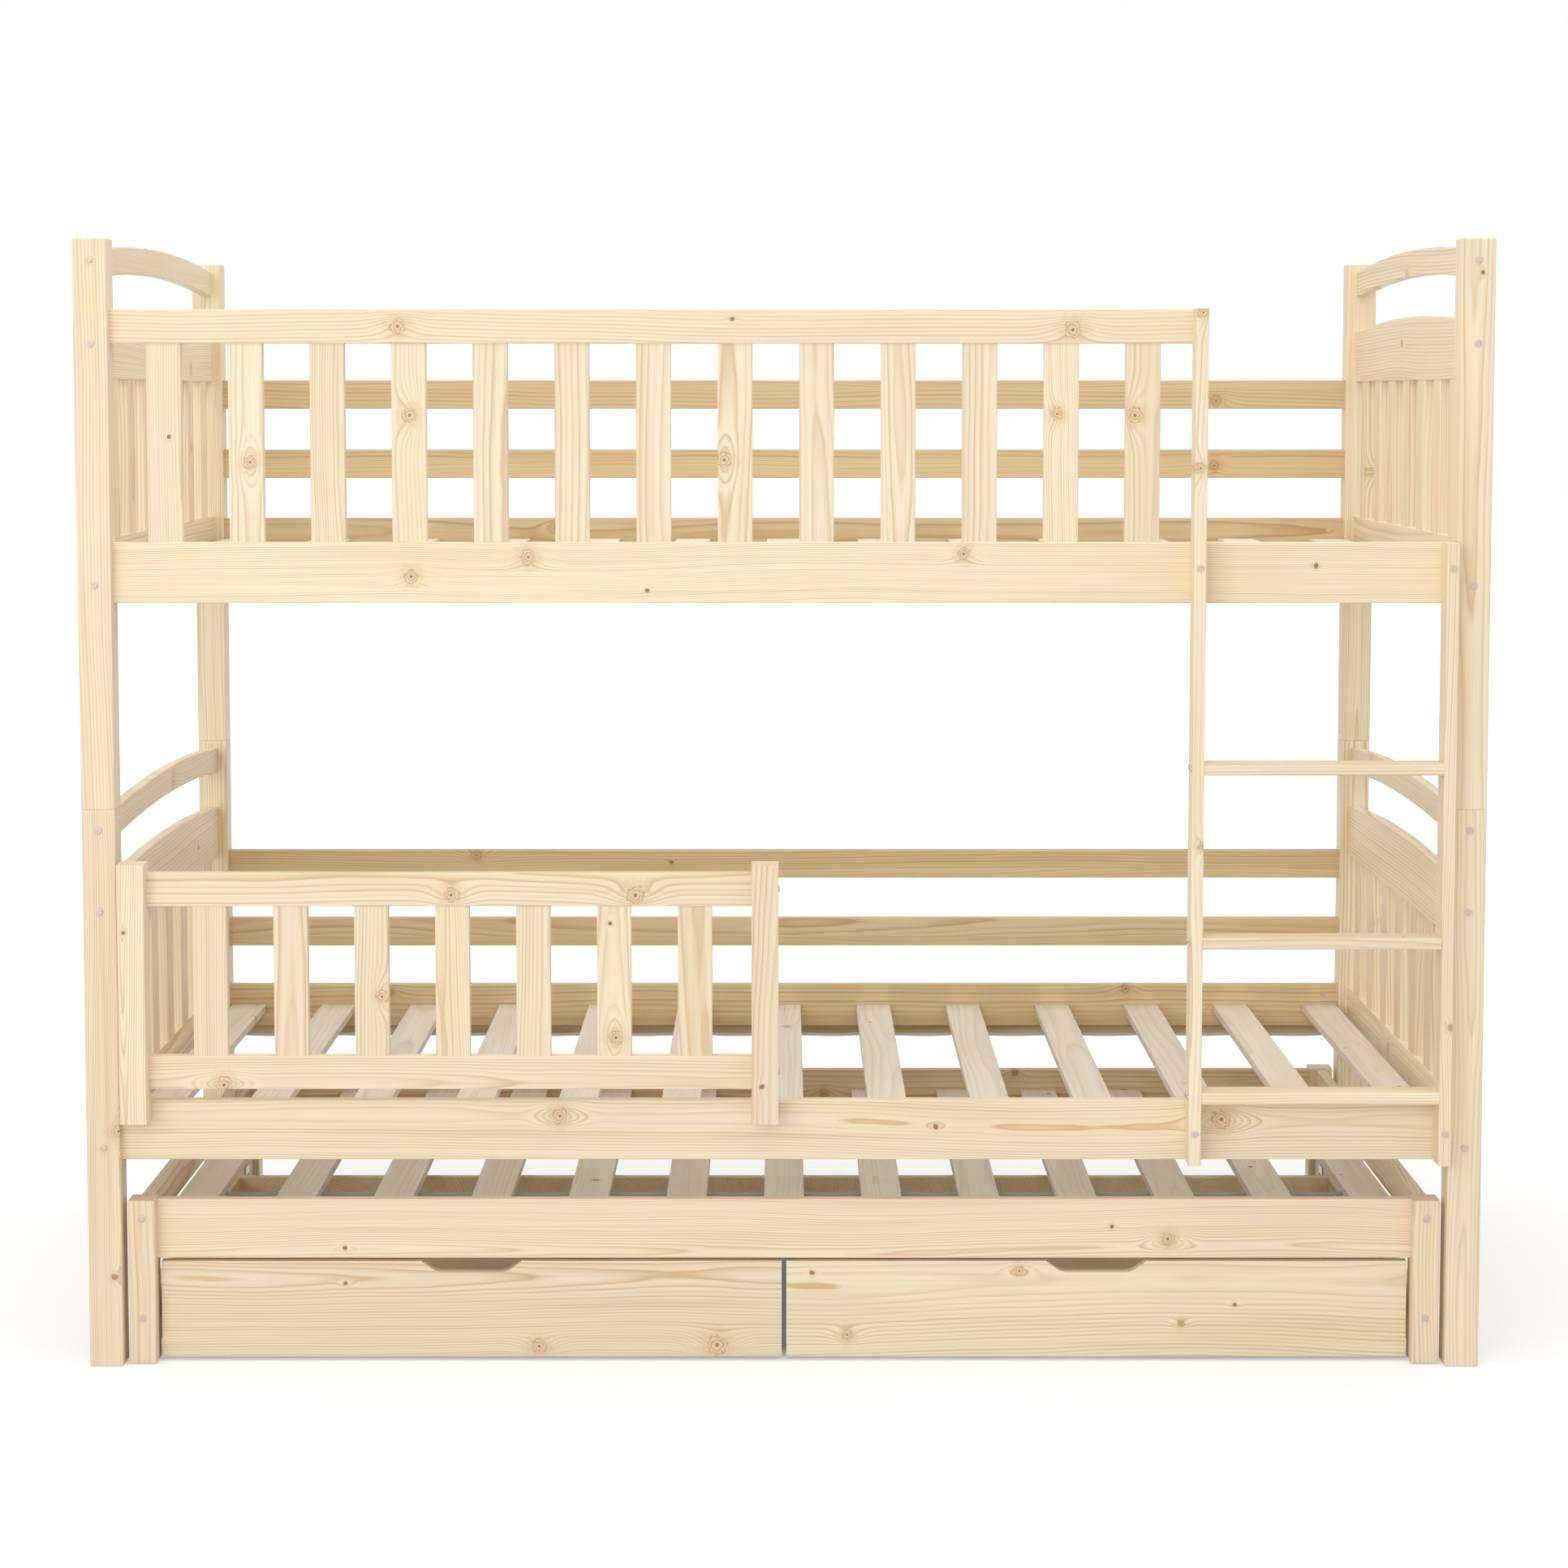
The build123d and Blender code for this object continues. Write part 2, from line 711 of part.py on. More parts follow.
for unit, slat_bottom in slat_bottoms.items():
    with BuildPart() as bed_slats:
        for place in range(bed_slat_count):
            slat_x = slat_first_x + place * bed_slat_pitch
            along_y(
                (slat_x - bed_slat_wide / 2, slat_x + bed_slat_wide / 2),
                (deck_y[0] + slat_end_play, deck_y[1] - slat_end_play),
                (slat_bottom, slat_bottom + bed_slat_thick),
                slat_ease,
            )
    finish(bed_slats.part, f"{unit}_bed_slats")

with BuildPart() as slat_tapes:
    for slat_bottom in slat_bottoms.values():
        for edge, way in ((deck_y[0], 1), (deck_y[1], -1)):
            tape_y = edge + way * tape_inset
            block(
                (-inner_x + tape_end_gap, inner_x - tape_end_gap),
                (tape_y - tape_wide / 2, tape_y + tape_wide / 2),
                (slat_bottom - tape_thick, slat_bottom),
            )
finish(slat_tapes.part, "slat_tapes")

# Fasteners of the bunk bed
with BuildPart() as bunk_pins:
    for side in (left, right):
        for pin_y in (front_y + post_deep / 2, back_y - post_deep / 2):
            with BuildSketch(Plane.XY.offset(seam_z - pin_below_seam)):
                with Locations((side * post_x, pin_y)):
                    Circle(pin_radius)
            extrude(amount=pin_below_seam + pin_above_seam)
finish(bunk_pins.part, "bunk_pins")

with BuildPart() as frame_bolts:
    for side in (left, right):
        for way, outer_y in ((1, front_y), (-1, back_y)):
            for unit, foot in units.items():
                for z in panel_bolts:
                    place = at_y(way, side * post_x, foot + z)
                    bolt(to_y(outer_y, way), place, post_deep + bolt_reach)
                rail_y = outer_y + way * (rail_recess + rail_thick / 2)
                rail_bolt_z = rail_bottoms[unit] + rail_tall - rail_nut_drop
                sunk_x = side * (half_length - bolt_sink)
                place = at_x(-side, rail_y, rail_bolt_z)
                reach = post_wide - bolt_sink + rail_bolt_reach
                bolt(to_x(sunk_x, -side), place, reach)
finish(frame_bolts.part, "frame_bolts")

with BuildPart() as nuts_and_inserts:
    for side in (left, right):
        for way, end_y in ((1, panel_y[0]), (-1, panel_y[1])):
            nut_y = end_y + way * nut_setback
            for foot in units.values():
                places = [at_x(-side, nut_y, foot + z) for z in panel_bolts]
                rod(to_x(side * panel_outer_x, -side), places, nut_radius, nut_length)
                places = [at_y(way, side * post_x, foot + z) for z in panel_bolts]
                bore = nut_setback + nut_radius + hole_over
                hole(to_y(end_y, way), places, bolt_radius + fit_play, bore)
        for way, inner_y in ((-1, deck_y[0]), (1, deck_y[1])):
            nut_x = side * (inner_x - rail_nut_setback)
            heights = [bottom + rail_tall - rail_nut_drop for bottom in rail_bottoms.values()]
            places = [at_y(way, nut_x, z) for z in heights]
            rod(to_y(inner_y, way), places, nut_radius, nut_length)
            rail_y = inner_y + way * rail_thick / 2
            places = [at_x(-side, rail_y, z) for z in heights]
            bore = rail_nut_setback + nut_radius + hole_over
            hole(to_x(side * inner_x, -side), places, bolt_radius + fit_play, bore)
    for stile in (left_stile_x, right_stile_x):
        places = [at_y(1, middle(stile), z) for z in ladder_bolt_heights]
        rod(to_y(rail_front_y, 1), places, insert_radius, insert_length)
        hole(to_y(rail_front_y, 1), places, bolt_radius + fit_play, insert_length)
finish(nuts_and_inserts.part, "nuts_and_inserts")

with BuildPart() as dowels:
    for side_name, side in sides.items():
        for way, end_y in ((1, panel_y[0]), (-1, panel_y[1])):
            places = [at_y(way, side * post_x, f + z) for f in units.values() for z in panel_dowels]
            rod(to_y(end_y - way * dowel_half, way), places, dowel_radius, 2 * dowel_half)
        for face, rail_y in (("front", guard_rail_middle_y), ("back", back_rail_middle_y)):
            for unit in units:
                heights = dowels_into_post(unit, face, side_name)
                places = [at_x(side, rail_y, z) for z in heights]
                start = to_x(side * (inner_x - dowel_half), side)
                rod(start, places, dowel_radius, 2 * dowel_half)
finish(dowels.part, "dowels")

with BuildPart() as wood_screws:
    for side in (left, right):
        for screw_y in (front_y + post_deep / 2, back_y - post_deep / 2):
            for way in (-1, 1):
                place = at_x(side, screw_y, seam_z + way * lock_screw_offset)
                screw(to_x(side * inner_x, side), place, lock_screw_length)
    for outer_x, way in ((left_stile_x[0], 1), (right_stile_x[1], -1)):
        places = [at_x(way, y, z) for z in rung_middles for y in rung_screw_y]
        pan_screw(to_x(outer_x, way), places, rung_screw_length)
    for x, z in guard_screw_spots:
        screw(to_y(deck_y[0], -1), at_y(-1, x, z), guard_screw_length)
    for x, z in stile_screw_spots:
        screw(to_y(deck_y[0], -1), at_y(-1, x, z), stile_screw_length)
finish(wood_screws.part, "wood_screws")

with BuildPart() as ladder_and_guard_bolts:
    for stile in (left_stile_x, right_stile_x):
        for z in ladder_bolt_heights:
            bolt(to_y(stile_y[0], 1), at_y(1, middle(stile), z), stile_deep + insert_length)
    for z in guard_bolt_heights:
        for outer_x, way in ((guard_left_x[0], 1), (guard_right_x[1], -1)):
            bolt(to_x(outer_x, way), at_x(way, middle(guard_rail_y), z), guard_bolt_reach)
finish(ladder_and_guard_bolts.part, "ladder_and_guard_bolts")

# Roll-out bed: places
trundle_x = inner_x - trundle_side_gap
trundle_inner_x = trundle_x - trundle_post
trundle_y = (front_y + trundle_front_recess, back_y)
trundle_end_y = (trundle_y[0] + trundle_post, trundle_y[1] - trundle_post)
trundle_front_rail_y = (
    trundle_y[0] + trundle_rail_recess,
    trundle_y[0] + trundle_rail_recess + trundle_rail_thick,
)
trundle_back_rail_y = (
    trundle_y[1] - trundle_rail_recess - trundle_rail_thick,
    trundle_y[1] - trundle_rail_recess,
)
trundle_post_x = trundle_x - trundle_post / 2
trundle_rail_z = (trundle_rail_bottom, trundle_rail_bottom + trundle_rail_tall)
trundle_bolts = [trundle_upper_bolt, trundle_lower_bolt]
trundle_slat_bottom = trundle_slat_top - bed_slat_thick
trundle_rail_bolt_z = trundle_slat_bottom - ledger_tall / 2
end_rail_outer_x = trundle_post_x + trundle_rail_thick / 2
end_rail_inner_x = trundle_post_x - trundle_rail_thick / 2

with BuildPart() as trundle_posts:
    for side in (left, right):
        for way, outer_y in ((1, trundle_y[0]), (-1, trundle_y[1])):
            inner_y = outer_y + way * trundle_post
            along_z(
                mirrored(side, trundle_inner_x, trundle_x),
                (min(outer_y, inner_y), max(outer_y, inner_y)),
                (trundle_floor_gap, trundle_top),
                post_ease,
            )
            places = [at_y(way, side * trundle_post_x, z) for z in trundle_bolts]
            hole(to_y(outer_y, way), places, bolt_hole, trundle_post)
            rail_y = outer_y + way * (trundle_rail_recess + trundle_rail_thick / 2)
            place = at_x(-side, rail_y, trundle_rail_bolt_z)
            mouth = to_x(side * trundle_x, -side)
            hole(mouth, [place], bolt_hole, trundle_post)
            hole(mouth, [place], bolt_head_radius + fit_play, bolt_sink)
finish(trundle_posts.part, "trundle_posts")

for face, span, way in (
    ("front", trundle_front_rail_y, 1),
    ("back", trundle_back_rail_y, -1),
):
    with BuildPart() as trundle_rail:
        along_x((-trundle_inner_x, trundle_inner_x), span, trundle_rail_z)
        inner_y = span[1] if face == "front" else span[0]
        for side in (left, right):
            place = at_x(-side, middle(span), trundle_rail_bolt_z)
            hole(to_x(side * trundle_inner_x, -side), [place], bolt_hole, bolt_reach)
            place = at_y(-way, side * (trundle_inner_x - rail_nut_setback), trundle_rail_bolt_z)
            hole(to_y(inner_y, -way), [place], nut_radius + fit_play, nut_length + fit_play)
    finish(trundle_rail.part, f"trundle_{face}_rail")

bracket_x = (end_rail_inner_x - bracket_thick, end_rail_inner_x)
wheel_places = {
    "front": trundle_end_y[0] + trundle_wheel_setback,
    "back": trundle_end_y[1] - trundle_wheel_setback,
}
bracket_screw_length = bracket_thick + bracket_screw_bite
with BuildPart() as trundle_end_rails:
    for side in (left, right):
        for bolt_z in trundle_bolts:
            along_y(
                mirrored(side, end_rail_inner_x, end_rail_outer_x),
                trundle_end_y,
                (bolt_z - trundle_end_rail_tall / 2, bolt_z + trundle_end_rail_tall / 2),
            )
            for way, end_y in ((1, trundle_end_y[0]), (-1, trundle_end_y[1])):
                place = at_y(way, side * trundle_post_x, bolt_z)
                hole(to_y(end_y, way), [place], bolt_hole, bolt_reach + hole_over)
                place = at_x(-side, end_y + way * nut_setback, bolt_z)
                mouth = to_x(side * end_rail_outer_x, -side)
                hole(mouth, [place], nut_radius + fit_play, nut_length + fit_play)
        for wheel_y in wheel_places.values():
            for shift in (-bracket_screw_spread, bracket_screw_spread):
                place = at_x(side, wheel_y + shift, trundle_lower_bolt)
                depth = bracket_screw_length - bracket_thick + 2 * fit_play
                mouth = to_x(side * end_rail_inner_x, side)
                hole(mouth, [place], screw_radius + fit_play, depth)
finish(trundle_end_rails.part, "trundle_end_rails")

with BuildPart() as trundle_ledgers:
    for edge, way in ((trundle_front_rail_y[1], 1), (trundle_back_rail_y[0], -1)):
        inner = edge + way * ledger_thick
        along_x(
            (-trundle_inner_x + ledger_end_gap, trundle_inner_x - ledger_end_gap),
            (min(edge, inner), max(edge, inner)),
            (trundle_slat_bottom - ledger_tall, trundle_slat_bottom),
        )
finish(trundle_ledgers.part, "trundle_ledgers")

trundle_first_x = -trundle_inner_x + trundle_slat_end_gap + trundle_slat_wide / 2
trundle_slat_pitch = -2 * trundle_first_x / (bed_slat_count - 1)
with BuildPart() as trundle_slats:
    for place in range(bed_slat_count):
        slat_x = trundle_first_x + place * trundle_slat_pitch
        along_y(
            (slat_x - trundle_slat_wide / 2, slat_x + trundle_slat_wide / 2),
            (trundle_front_rail_y[1] + slat_end_play, trundle_back_rail_y[0] - slat_end_play),
            (trundle_slat_bottom, trundle_slat_top),
            slat_ease,
        )
finish(trundle_slats.part, "trundle_slats")

with BuildPart() as trundle_tapes:
    for edge, way in ((trundle_front_rail_y[1], 1), (trundle_back_rail_y[0], -1)):
        tape_y = edge + way * trundle_tape_inset
        block(
            (-trundle_inner_x + tape_end_gap, trundle_inner_x - tape_end_gap),
            (tape_y - tape_wide / 2, tape_y + tape_wide / 2),
            (trundle_slat_bottom - tape_thick, trundle_slat_bottom),
        )
finish(trundle_tapes.part, "trundle_tapes")

with BuildPart() as trundle_bolts_and_nuts:
    for side in (left, right):
        for way, end_y in ((1, trundle_end_y[0]), (-1, trundle_end_y[1])):
            nut_y = end_y + way * nut_setback
            places = [at_x(-side, nut_y, z) for z in trundle_bolts]
            rod(to_x(side * end_rail_outer_x, -side), places, nut_radius, nut_length)
            places = [at_y(way, side * trundle_post_x, z) for z in trundle_bolts]
            bore = nut_setback + nut_radius + hole_over
            hole(to_y(end_y, way), places, bolt_radius + fit_play, bore)
        for way, inner_y in ((-1, trundle_front_rail_y[1]), (1, trundle_back_rail_y[0])):
            nut_x = side * (trundle_inner_x - rail_nut_setback)
            rod(to_y(inner_y, way), [at_y(way, nut_x, trundle_rail_bolt_z)], nut_radius, nut_length)
            rail_y = inner_y + way * trundle_rail_thick / 2
            place = at_x(-side, rail_y, trundle_rail_bolt_z)
            bore = rail_nut_setback + nut_radius + hole_over
            hole(to_x(side * trundle_inner_x, -side), [place], bolt_radius + fit_play, bore)
    for side in (left, right):
        for way, outer_y in ((1, trundle_y[0]), (-1, trundle_y[1])):
            for z in trundle_bolts:
                place = at_y(way, side * trundle_post_x, z)
                bolt(to_y(outer_y, way), place, trundle_post + bolt_reach)
            rail_y = outer_y + way * (trundle_rail_recess + trundle_rail_thick / 2)
            place = at_x(-side, rail_y, trundle_rail_bolt_z)
            reach = trundle_post - bolt_sink + rail_bolt_reach
            bolt(to_x(side * (trundle_x - bolt_sink), -side), place, reach)
        places = [
            at_x(side, wheel_y + shift, trundle_lower_bolt)
            for wheel_y in wheel_places.values()
            for shift in (-bracket_screw_spread, bracket_screw_spread)
        ]
        pan_screw(to_x(side * bracket_x[0], side), places, bracket_screw_length)
finish(trundle_bolts_and_nuts.part, "trundle_bolts_and_nuts")


# Castors of the roll-out bed: a plate, an axle pin and a wheel at each corner
wheel_outer_x = bracket_x[0] - wheel_side_play
wheel_inner_x = wheel_outer_x - trundle_wheel_wide
axle_end_x = wheel_inner_x - wheel_side_play
with BuildPart() as trundle_castor_brackets:
    for side in (left, right):
        for wheel_y in wheel_places.values():
            plate_y = (wheel_y - bracket_wide / 2, wheel_y + bracket_wide / 2)
            plate_x = min(side * bracket_x[0], side * bracket_x[1])
            plate = section(to_x(plate_x, 1), plate_y, (bracket_bottom, bracket_top), post_ease)
            extrude(plate, amount=bracket_thick)
            mouth = to_x(side * bracket_x[0], side)
            for shift in (-bracket_screw_spread, bracket_screw_spread):
                place = at_x(side, wheel_y + shift, trundle_lower_bolt)
                hole(mouth, [place], screw_radius + fit_play, bracket_thick)
            axle = at_x(-side, wheel_y, trundle_wheel_radius)
            axle_plane = to_x(side * bracket_x[0], -side)
            rod(axle_plane, [axle], trundle_axle_radius, bracket_x[0] - axle_end_x)
            rod(to_x(side * axle_end_x, -side), [axle], bolt_head_radius, axle_head)
finish(trundle_castor_brackets.part, "trundle_castor_brackets")


def wheel(low_x, wheel_y, radius, wide, bore, tread_thick):
    """A wheel about an axis along X, with a rounded tread and a hollow on each face."""
    hub = bore + wheel_hub_wall
    tread = radius - tread_thick
    dish = wheel_dish
    across = Plane(origin=(low_x, wheel_y, radius), x_dir=(1, 0, 0), z_dir=(0, -1, 0))
    with BuildSketch(across) as profile:
        with BuildLine():
            Polyline(
                (0, bore),
                (0, hub),
                (dish, hub + dish / 2),
                (dish, tread - dish / 2),
                (0, tread),
                (0, radius - dish),
                (dish, radius),
                (wide - dish, radius),
                (wide, radius - dish),
                (wide, tread),
                (wide - dish, tread - dish / 2),
                (wide - dish, hub + dish / 2),
                (wide, hub),
                (wide, bore),
                (0, bore),
            )
        make_face()
    revolve(profile.sketch, axis=Axis((low_x, wheel_y, radius), (1, 0, 0)))


for face, wheel_y in wheel_places.items():
    with BuildPart() as trundle_wheels:
        for side in (left, right):
            low_x = min(side * wheel_inner_x, side * wheel_outer_x)
            bore = trundle_axle_radius + running_fit
            wheel(low_x, wheel_y, trundle_wheel_radius, trundle_wheel_wide, bore, trundle_wheel_tread)
    finish(trundle_wheels.part, f"trundle_{face}_wheels")

# Drawers
drawer_inner_x = drawer_centre_gap / 2
drawer_outer_x = trundle_inner_x - drawer_post_gap
drawer_front_y = (trundle_front_rail_y[0], trundle_front_rail_y[0] + drawer_front_thick)
drawer_back_y = drawer_front_y[0] + drawer_depth
wall_x = (drawer_inner_x + drawer_side_inset, drawer_outer_x - drawer_side_inset)
wall_z = (drawer_wall_bottom, drawer_wall_top)
drawer_middle_x = (drawer_inner_x + drawer_outer_x) / 2
bottom_z = (drawer_bottom_rise, drawer_bottom_rise + drawer_bottom_thick)
groove_z = (bottom_z[0] - groove_play / 2, bottom_z[1] + groove_play / 2)
panel_in = groove_deep - groove_play
castor_places = {
    "front": drawer_front_y[1] + drawer_wheel_front_setback,
    "back": drawer_back_y - drawer_wheel_back_setback,
}
castor_inset = drawer_wall + housing_side_gap + housing_wide / 2
castor_x = (wall_x[0] + castor_inset, wall_x[1] - castor_inset)
stub_half = housing_wide / 2 - stub_short

for side_name, side in sides.items():
    with BuildPart() as drawer_front:
        along_x(
            mirrored(side, drawer_inner_x, drawer_outer_x),
            drawer_front_y,
            (drawer_front_bottom, drawer_front_top),
        )
        with BuildSketch(to_y(drawer_front_y[1], -1)):
            with BuildLine():
                Polyline(
                    (side * drawer_middle_x - hold_wide / 2, drawer_front_top),
                    (side * drawer_middle_x - hold_floor / 2, drawer_front_top - hold_deep),
                    (side * drawer_middle_x + hold_floor / 2, drawer_front_top - hold_deep),
                    (side * drawer_middle_x + hold_wide / 2, drawer_front_top),
                    close=True,
                )
            hold = make_face()
            fillet(hold.vertices().group_by(Axis.Y)[0], hold_round)
        extrude(amount=drawer_front_thick, mode=Mode.SUBTRACT)
        groove_x = mirrored(side, wall_x[0] + drawer_wall, wall_x[1] - drawer_wall)
        groove_y = (drawer_front_y[1] - groove_deep, drawer_front_y[1])
        block(groove_x, groove_y, groove_z, Mode.SUBTRACT)
    finish(drawer_front.part, f"drawer_{side_name}_front")

    with BuildPart() as drawer_box:
        for wall in (
            (wall_x[0], wall_x[0] + drawer_wall),
            (wall_x[1] - drawer_wall, wall_x[1]),
        ):
            along_y(mirrored(side, *wall), (drawer_front_y[1], drawer_back_y), wall_z)
        along_x(
            mirrored(side, wall_x[0] + drawer_wall, wall_x[1] - drawer_wall),
            (drawer_back_y - drawer_wall, drawer_back_y),
            wall_z,
        )
        groove_start = wall_x[0] + drawer_wall - groove_deep
        groove_end = wall_x[1] - drawer_wall + groove_deep
        block(
            mirrored(side, groove_start, groove_end),
            (drawer_front_y[1], drawer_back_y - drawer_wall + groove_deep),
            groove_z,
            Mode.SUBTRACT,
        )
    finish(drawer_box.part, f"drawer_{side_name}_box")

    with BuildPart() as drawer_bottom:
        start = wall_x[0] + drawer_wall
        end = wall_x[1] - drawer_wall
        block(
            mirrored(side, start - panel_in, end + panel_in),
            (drawer_front_y[1], drawer_back_y - drawer_wall + panel_in),
            bottom_z,
        )
        block(
            mirrored(side, start + groove_play, end - groove_play),
            (drawer_front_y[1] - panel_in, drawer_front_y[1]),
            bottom_z,
        )
    finish(drawer_bottom.part, f"drawer_{side_name}_bottom")

    with BuildPart() as drawer_caps:
        for wall, way in ((wall_x[0], -side), (wall_x[1], side)):
            cap_y = drawer_front_y[1] + cap_setback
            places = [at_x(way, cap_y, z) for z in (cap_low, cap_high)]
            rod(to_x(side * wall, way), places, cap_radius, cap_proud)
    finish(drawer_caps.part, f"drawer_{side_name}_caps")

    with BuildPart() as castor_housings:
        for centre_y in castor_places.values():
            for centre_x in castor_x:
                body_x = mirrored(side, centre_x - housing_wide / 2, centre_x + housing_wide / 2)
                body_y = (centre_y - housing_long / 2, centre_y + housing_long / 2)
                along_z(body_x, body_y, (housing_bottom, bottom_z[0]), post_ease)
                slot_half = drawer_wheel_wide / 2 + wheel_side_play
                slot_x = (side * centre_x - slot_half, side * centre_x + slot_half)
                slot_top = 2 * drawer_wheel_radius + wheel_top_play
                block(slot_x, body_y, (housing_bottom, slot_top), Mode.SUBTRACT)
                axle = at_x(1, centre_y, drawer_wheel_radius)
                axle_plane = to_x(body_x[0], 1)
                hole(axle_plane, [axle], drawer_axle_radius + running_fit, housing_wide)
    finish(castor_housings.part, f"drawer_{side_name}_castor_housings")

    for face, centre_y in castor_places.items():
        with BuildPart() as drawer_wheels:
            for centre_x in castor_x:
                low_x = side * centre_x - drawer_wheel_wide / 2
                bore = drawer_axle_radius
                wheel(low_x, centre_y, drawer_wheel_radius, drawer_wheel_wide, bore, drawer_wheel_tread)
                axle = at_x(1, centre_y, drawer_wheel_radius)
                start = to_x(side * centre_x - stub_half, 1)
                rod(start, [axle], drawer_axle_radius, 2 * stub_half)
        finish(drawer_wheels.part, f"drawer_{side_name}_{face}_wheels")
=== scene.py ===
"""Looks of a pine bunk bed with a ladder, two guards, a roll-out bed and two drawers.

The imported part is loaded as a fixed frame. Its boards keep their shapes and get wood whose
fibres run the way each board runs, with growth rings, knots and fibres in real sizes. The
webbing tapes, the heads of the bolts and screws and the nut ends are modelled here.
"""
from __future__ import annotations

import json
import logging
import math
from dataclasses import dataclass, field
from enum import Enum
from typing import Sequence

import bmesh
import bpy
from mathutils import Matrix, Vector

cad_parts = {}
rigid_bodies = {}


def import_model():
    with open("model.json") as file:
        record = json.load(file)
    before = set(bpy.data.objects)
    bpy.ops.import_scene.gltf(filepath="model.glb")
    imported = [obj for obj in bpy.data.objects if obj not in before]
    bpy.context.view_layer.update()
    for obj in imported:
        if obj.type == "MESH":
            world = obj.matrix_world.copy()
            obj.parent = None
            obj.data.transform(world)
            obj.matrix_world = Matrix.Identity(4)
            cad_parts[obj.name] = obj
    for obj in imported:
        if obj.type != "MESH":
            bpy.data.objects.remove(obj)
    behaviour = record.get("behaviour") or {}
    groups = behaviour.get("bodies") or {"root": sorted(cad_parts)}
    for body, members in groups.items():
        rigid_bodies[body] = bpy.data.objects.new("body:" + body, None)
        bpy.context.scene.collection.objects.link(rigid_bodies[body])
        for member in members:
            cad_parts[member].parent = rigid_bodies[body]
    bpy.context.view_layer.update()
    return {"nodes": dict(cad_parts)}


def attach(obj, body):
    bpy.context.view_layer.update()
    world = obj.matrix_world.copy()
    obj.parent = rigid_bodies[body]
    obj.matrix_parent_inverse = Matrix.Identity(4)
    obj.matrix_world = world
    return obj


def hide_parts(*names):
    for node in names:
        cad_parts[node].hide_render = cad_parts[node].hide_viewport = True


log = logging.getLogger("bunk_bed")

Colour = tuple[float, float, float, float]
Place = tuple[float, float, float]
Socket = bpy.types.NodeSocket
Node = bpy.types.Node
Tree = bpy.types.NodeTree
Piece = bpy.types.Object
Material = bpy.types.Material
Nodes = dict[str, Piece]

SOFT_EDGE = math.radians(35.0)  # edges flatter than this are shaded smooth


def paint(red: int, green: int, blue: int) -> Colour:
    """Turn a colour as it is seen on a screen into the linear one that a shader wants.

    Args:
        red: Red from 0 to 255.
        green: Green from 0 to 255.
        blue: Blue from 0 to 255.

    Returns:
        The linear colour, opaque.
    """
    parts = [value / 255 for value in (red, green, blue)]
    linear = [p / 12.92 if p <= 0.04045 else ((p + 0.055) / 1.055) ** 2.4 for p in parts]
    return (linear[0], linear[1], linear[2], 1.0)


class Grain(Enum):
    """How a board lies: the axes of its length, of its wide face and of its thickness."""

    RAIL = (0, 2, 1)
    PANEL = (1, 2, 0)
    UPRIGHT = (2, 0, 1)
    END_SLAT = (2, 1, 0)
    DECK_SLAT = (1, 0, 2)
    RUNG = (0, 1, 2)


@dataclass(frozen=True)
class Knot:
    """A knot that the photograph shows, by its place on the wide face of its board."""

    along: float
    across: float
    radius: float


@dataclass(frozen=True)
class Boards:
    """The grid that tells the boards of one node apart, so that no two look alike."""

    start: Place = (-5.0, -5.0, -5.0)
    pitch: Place = (10.0, 10.0, 10.0)
    seed: float = 0.0


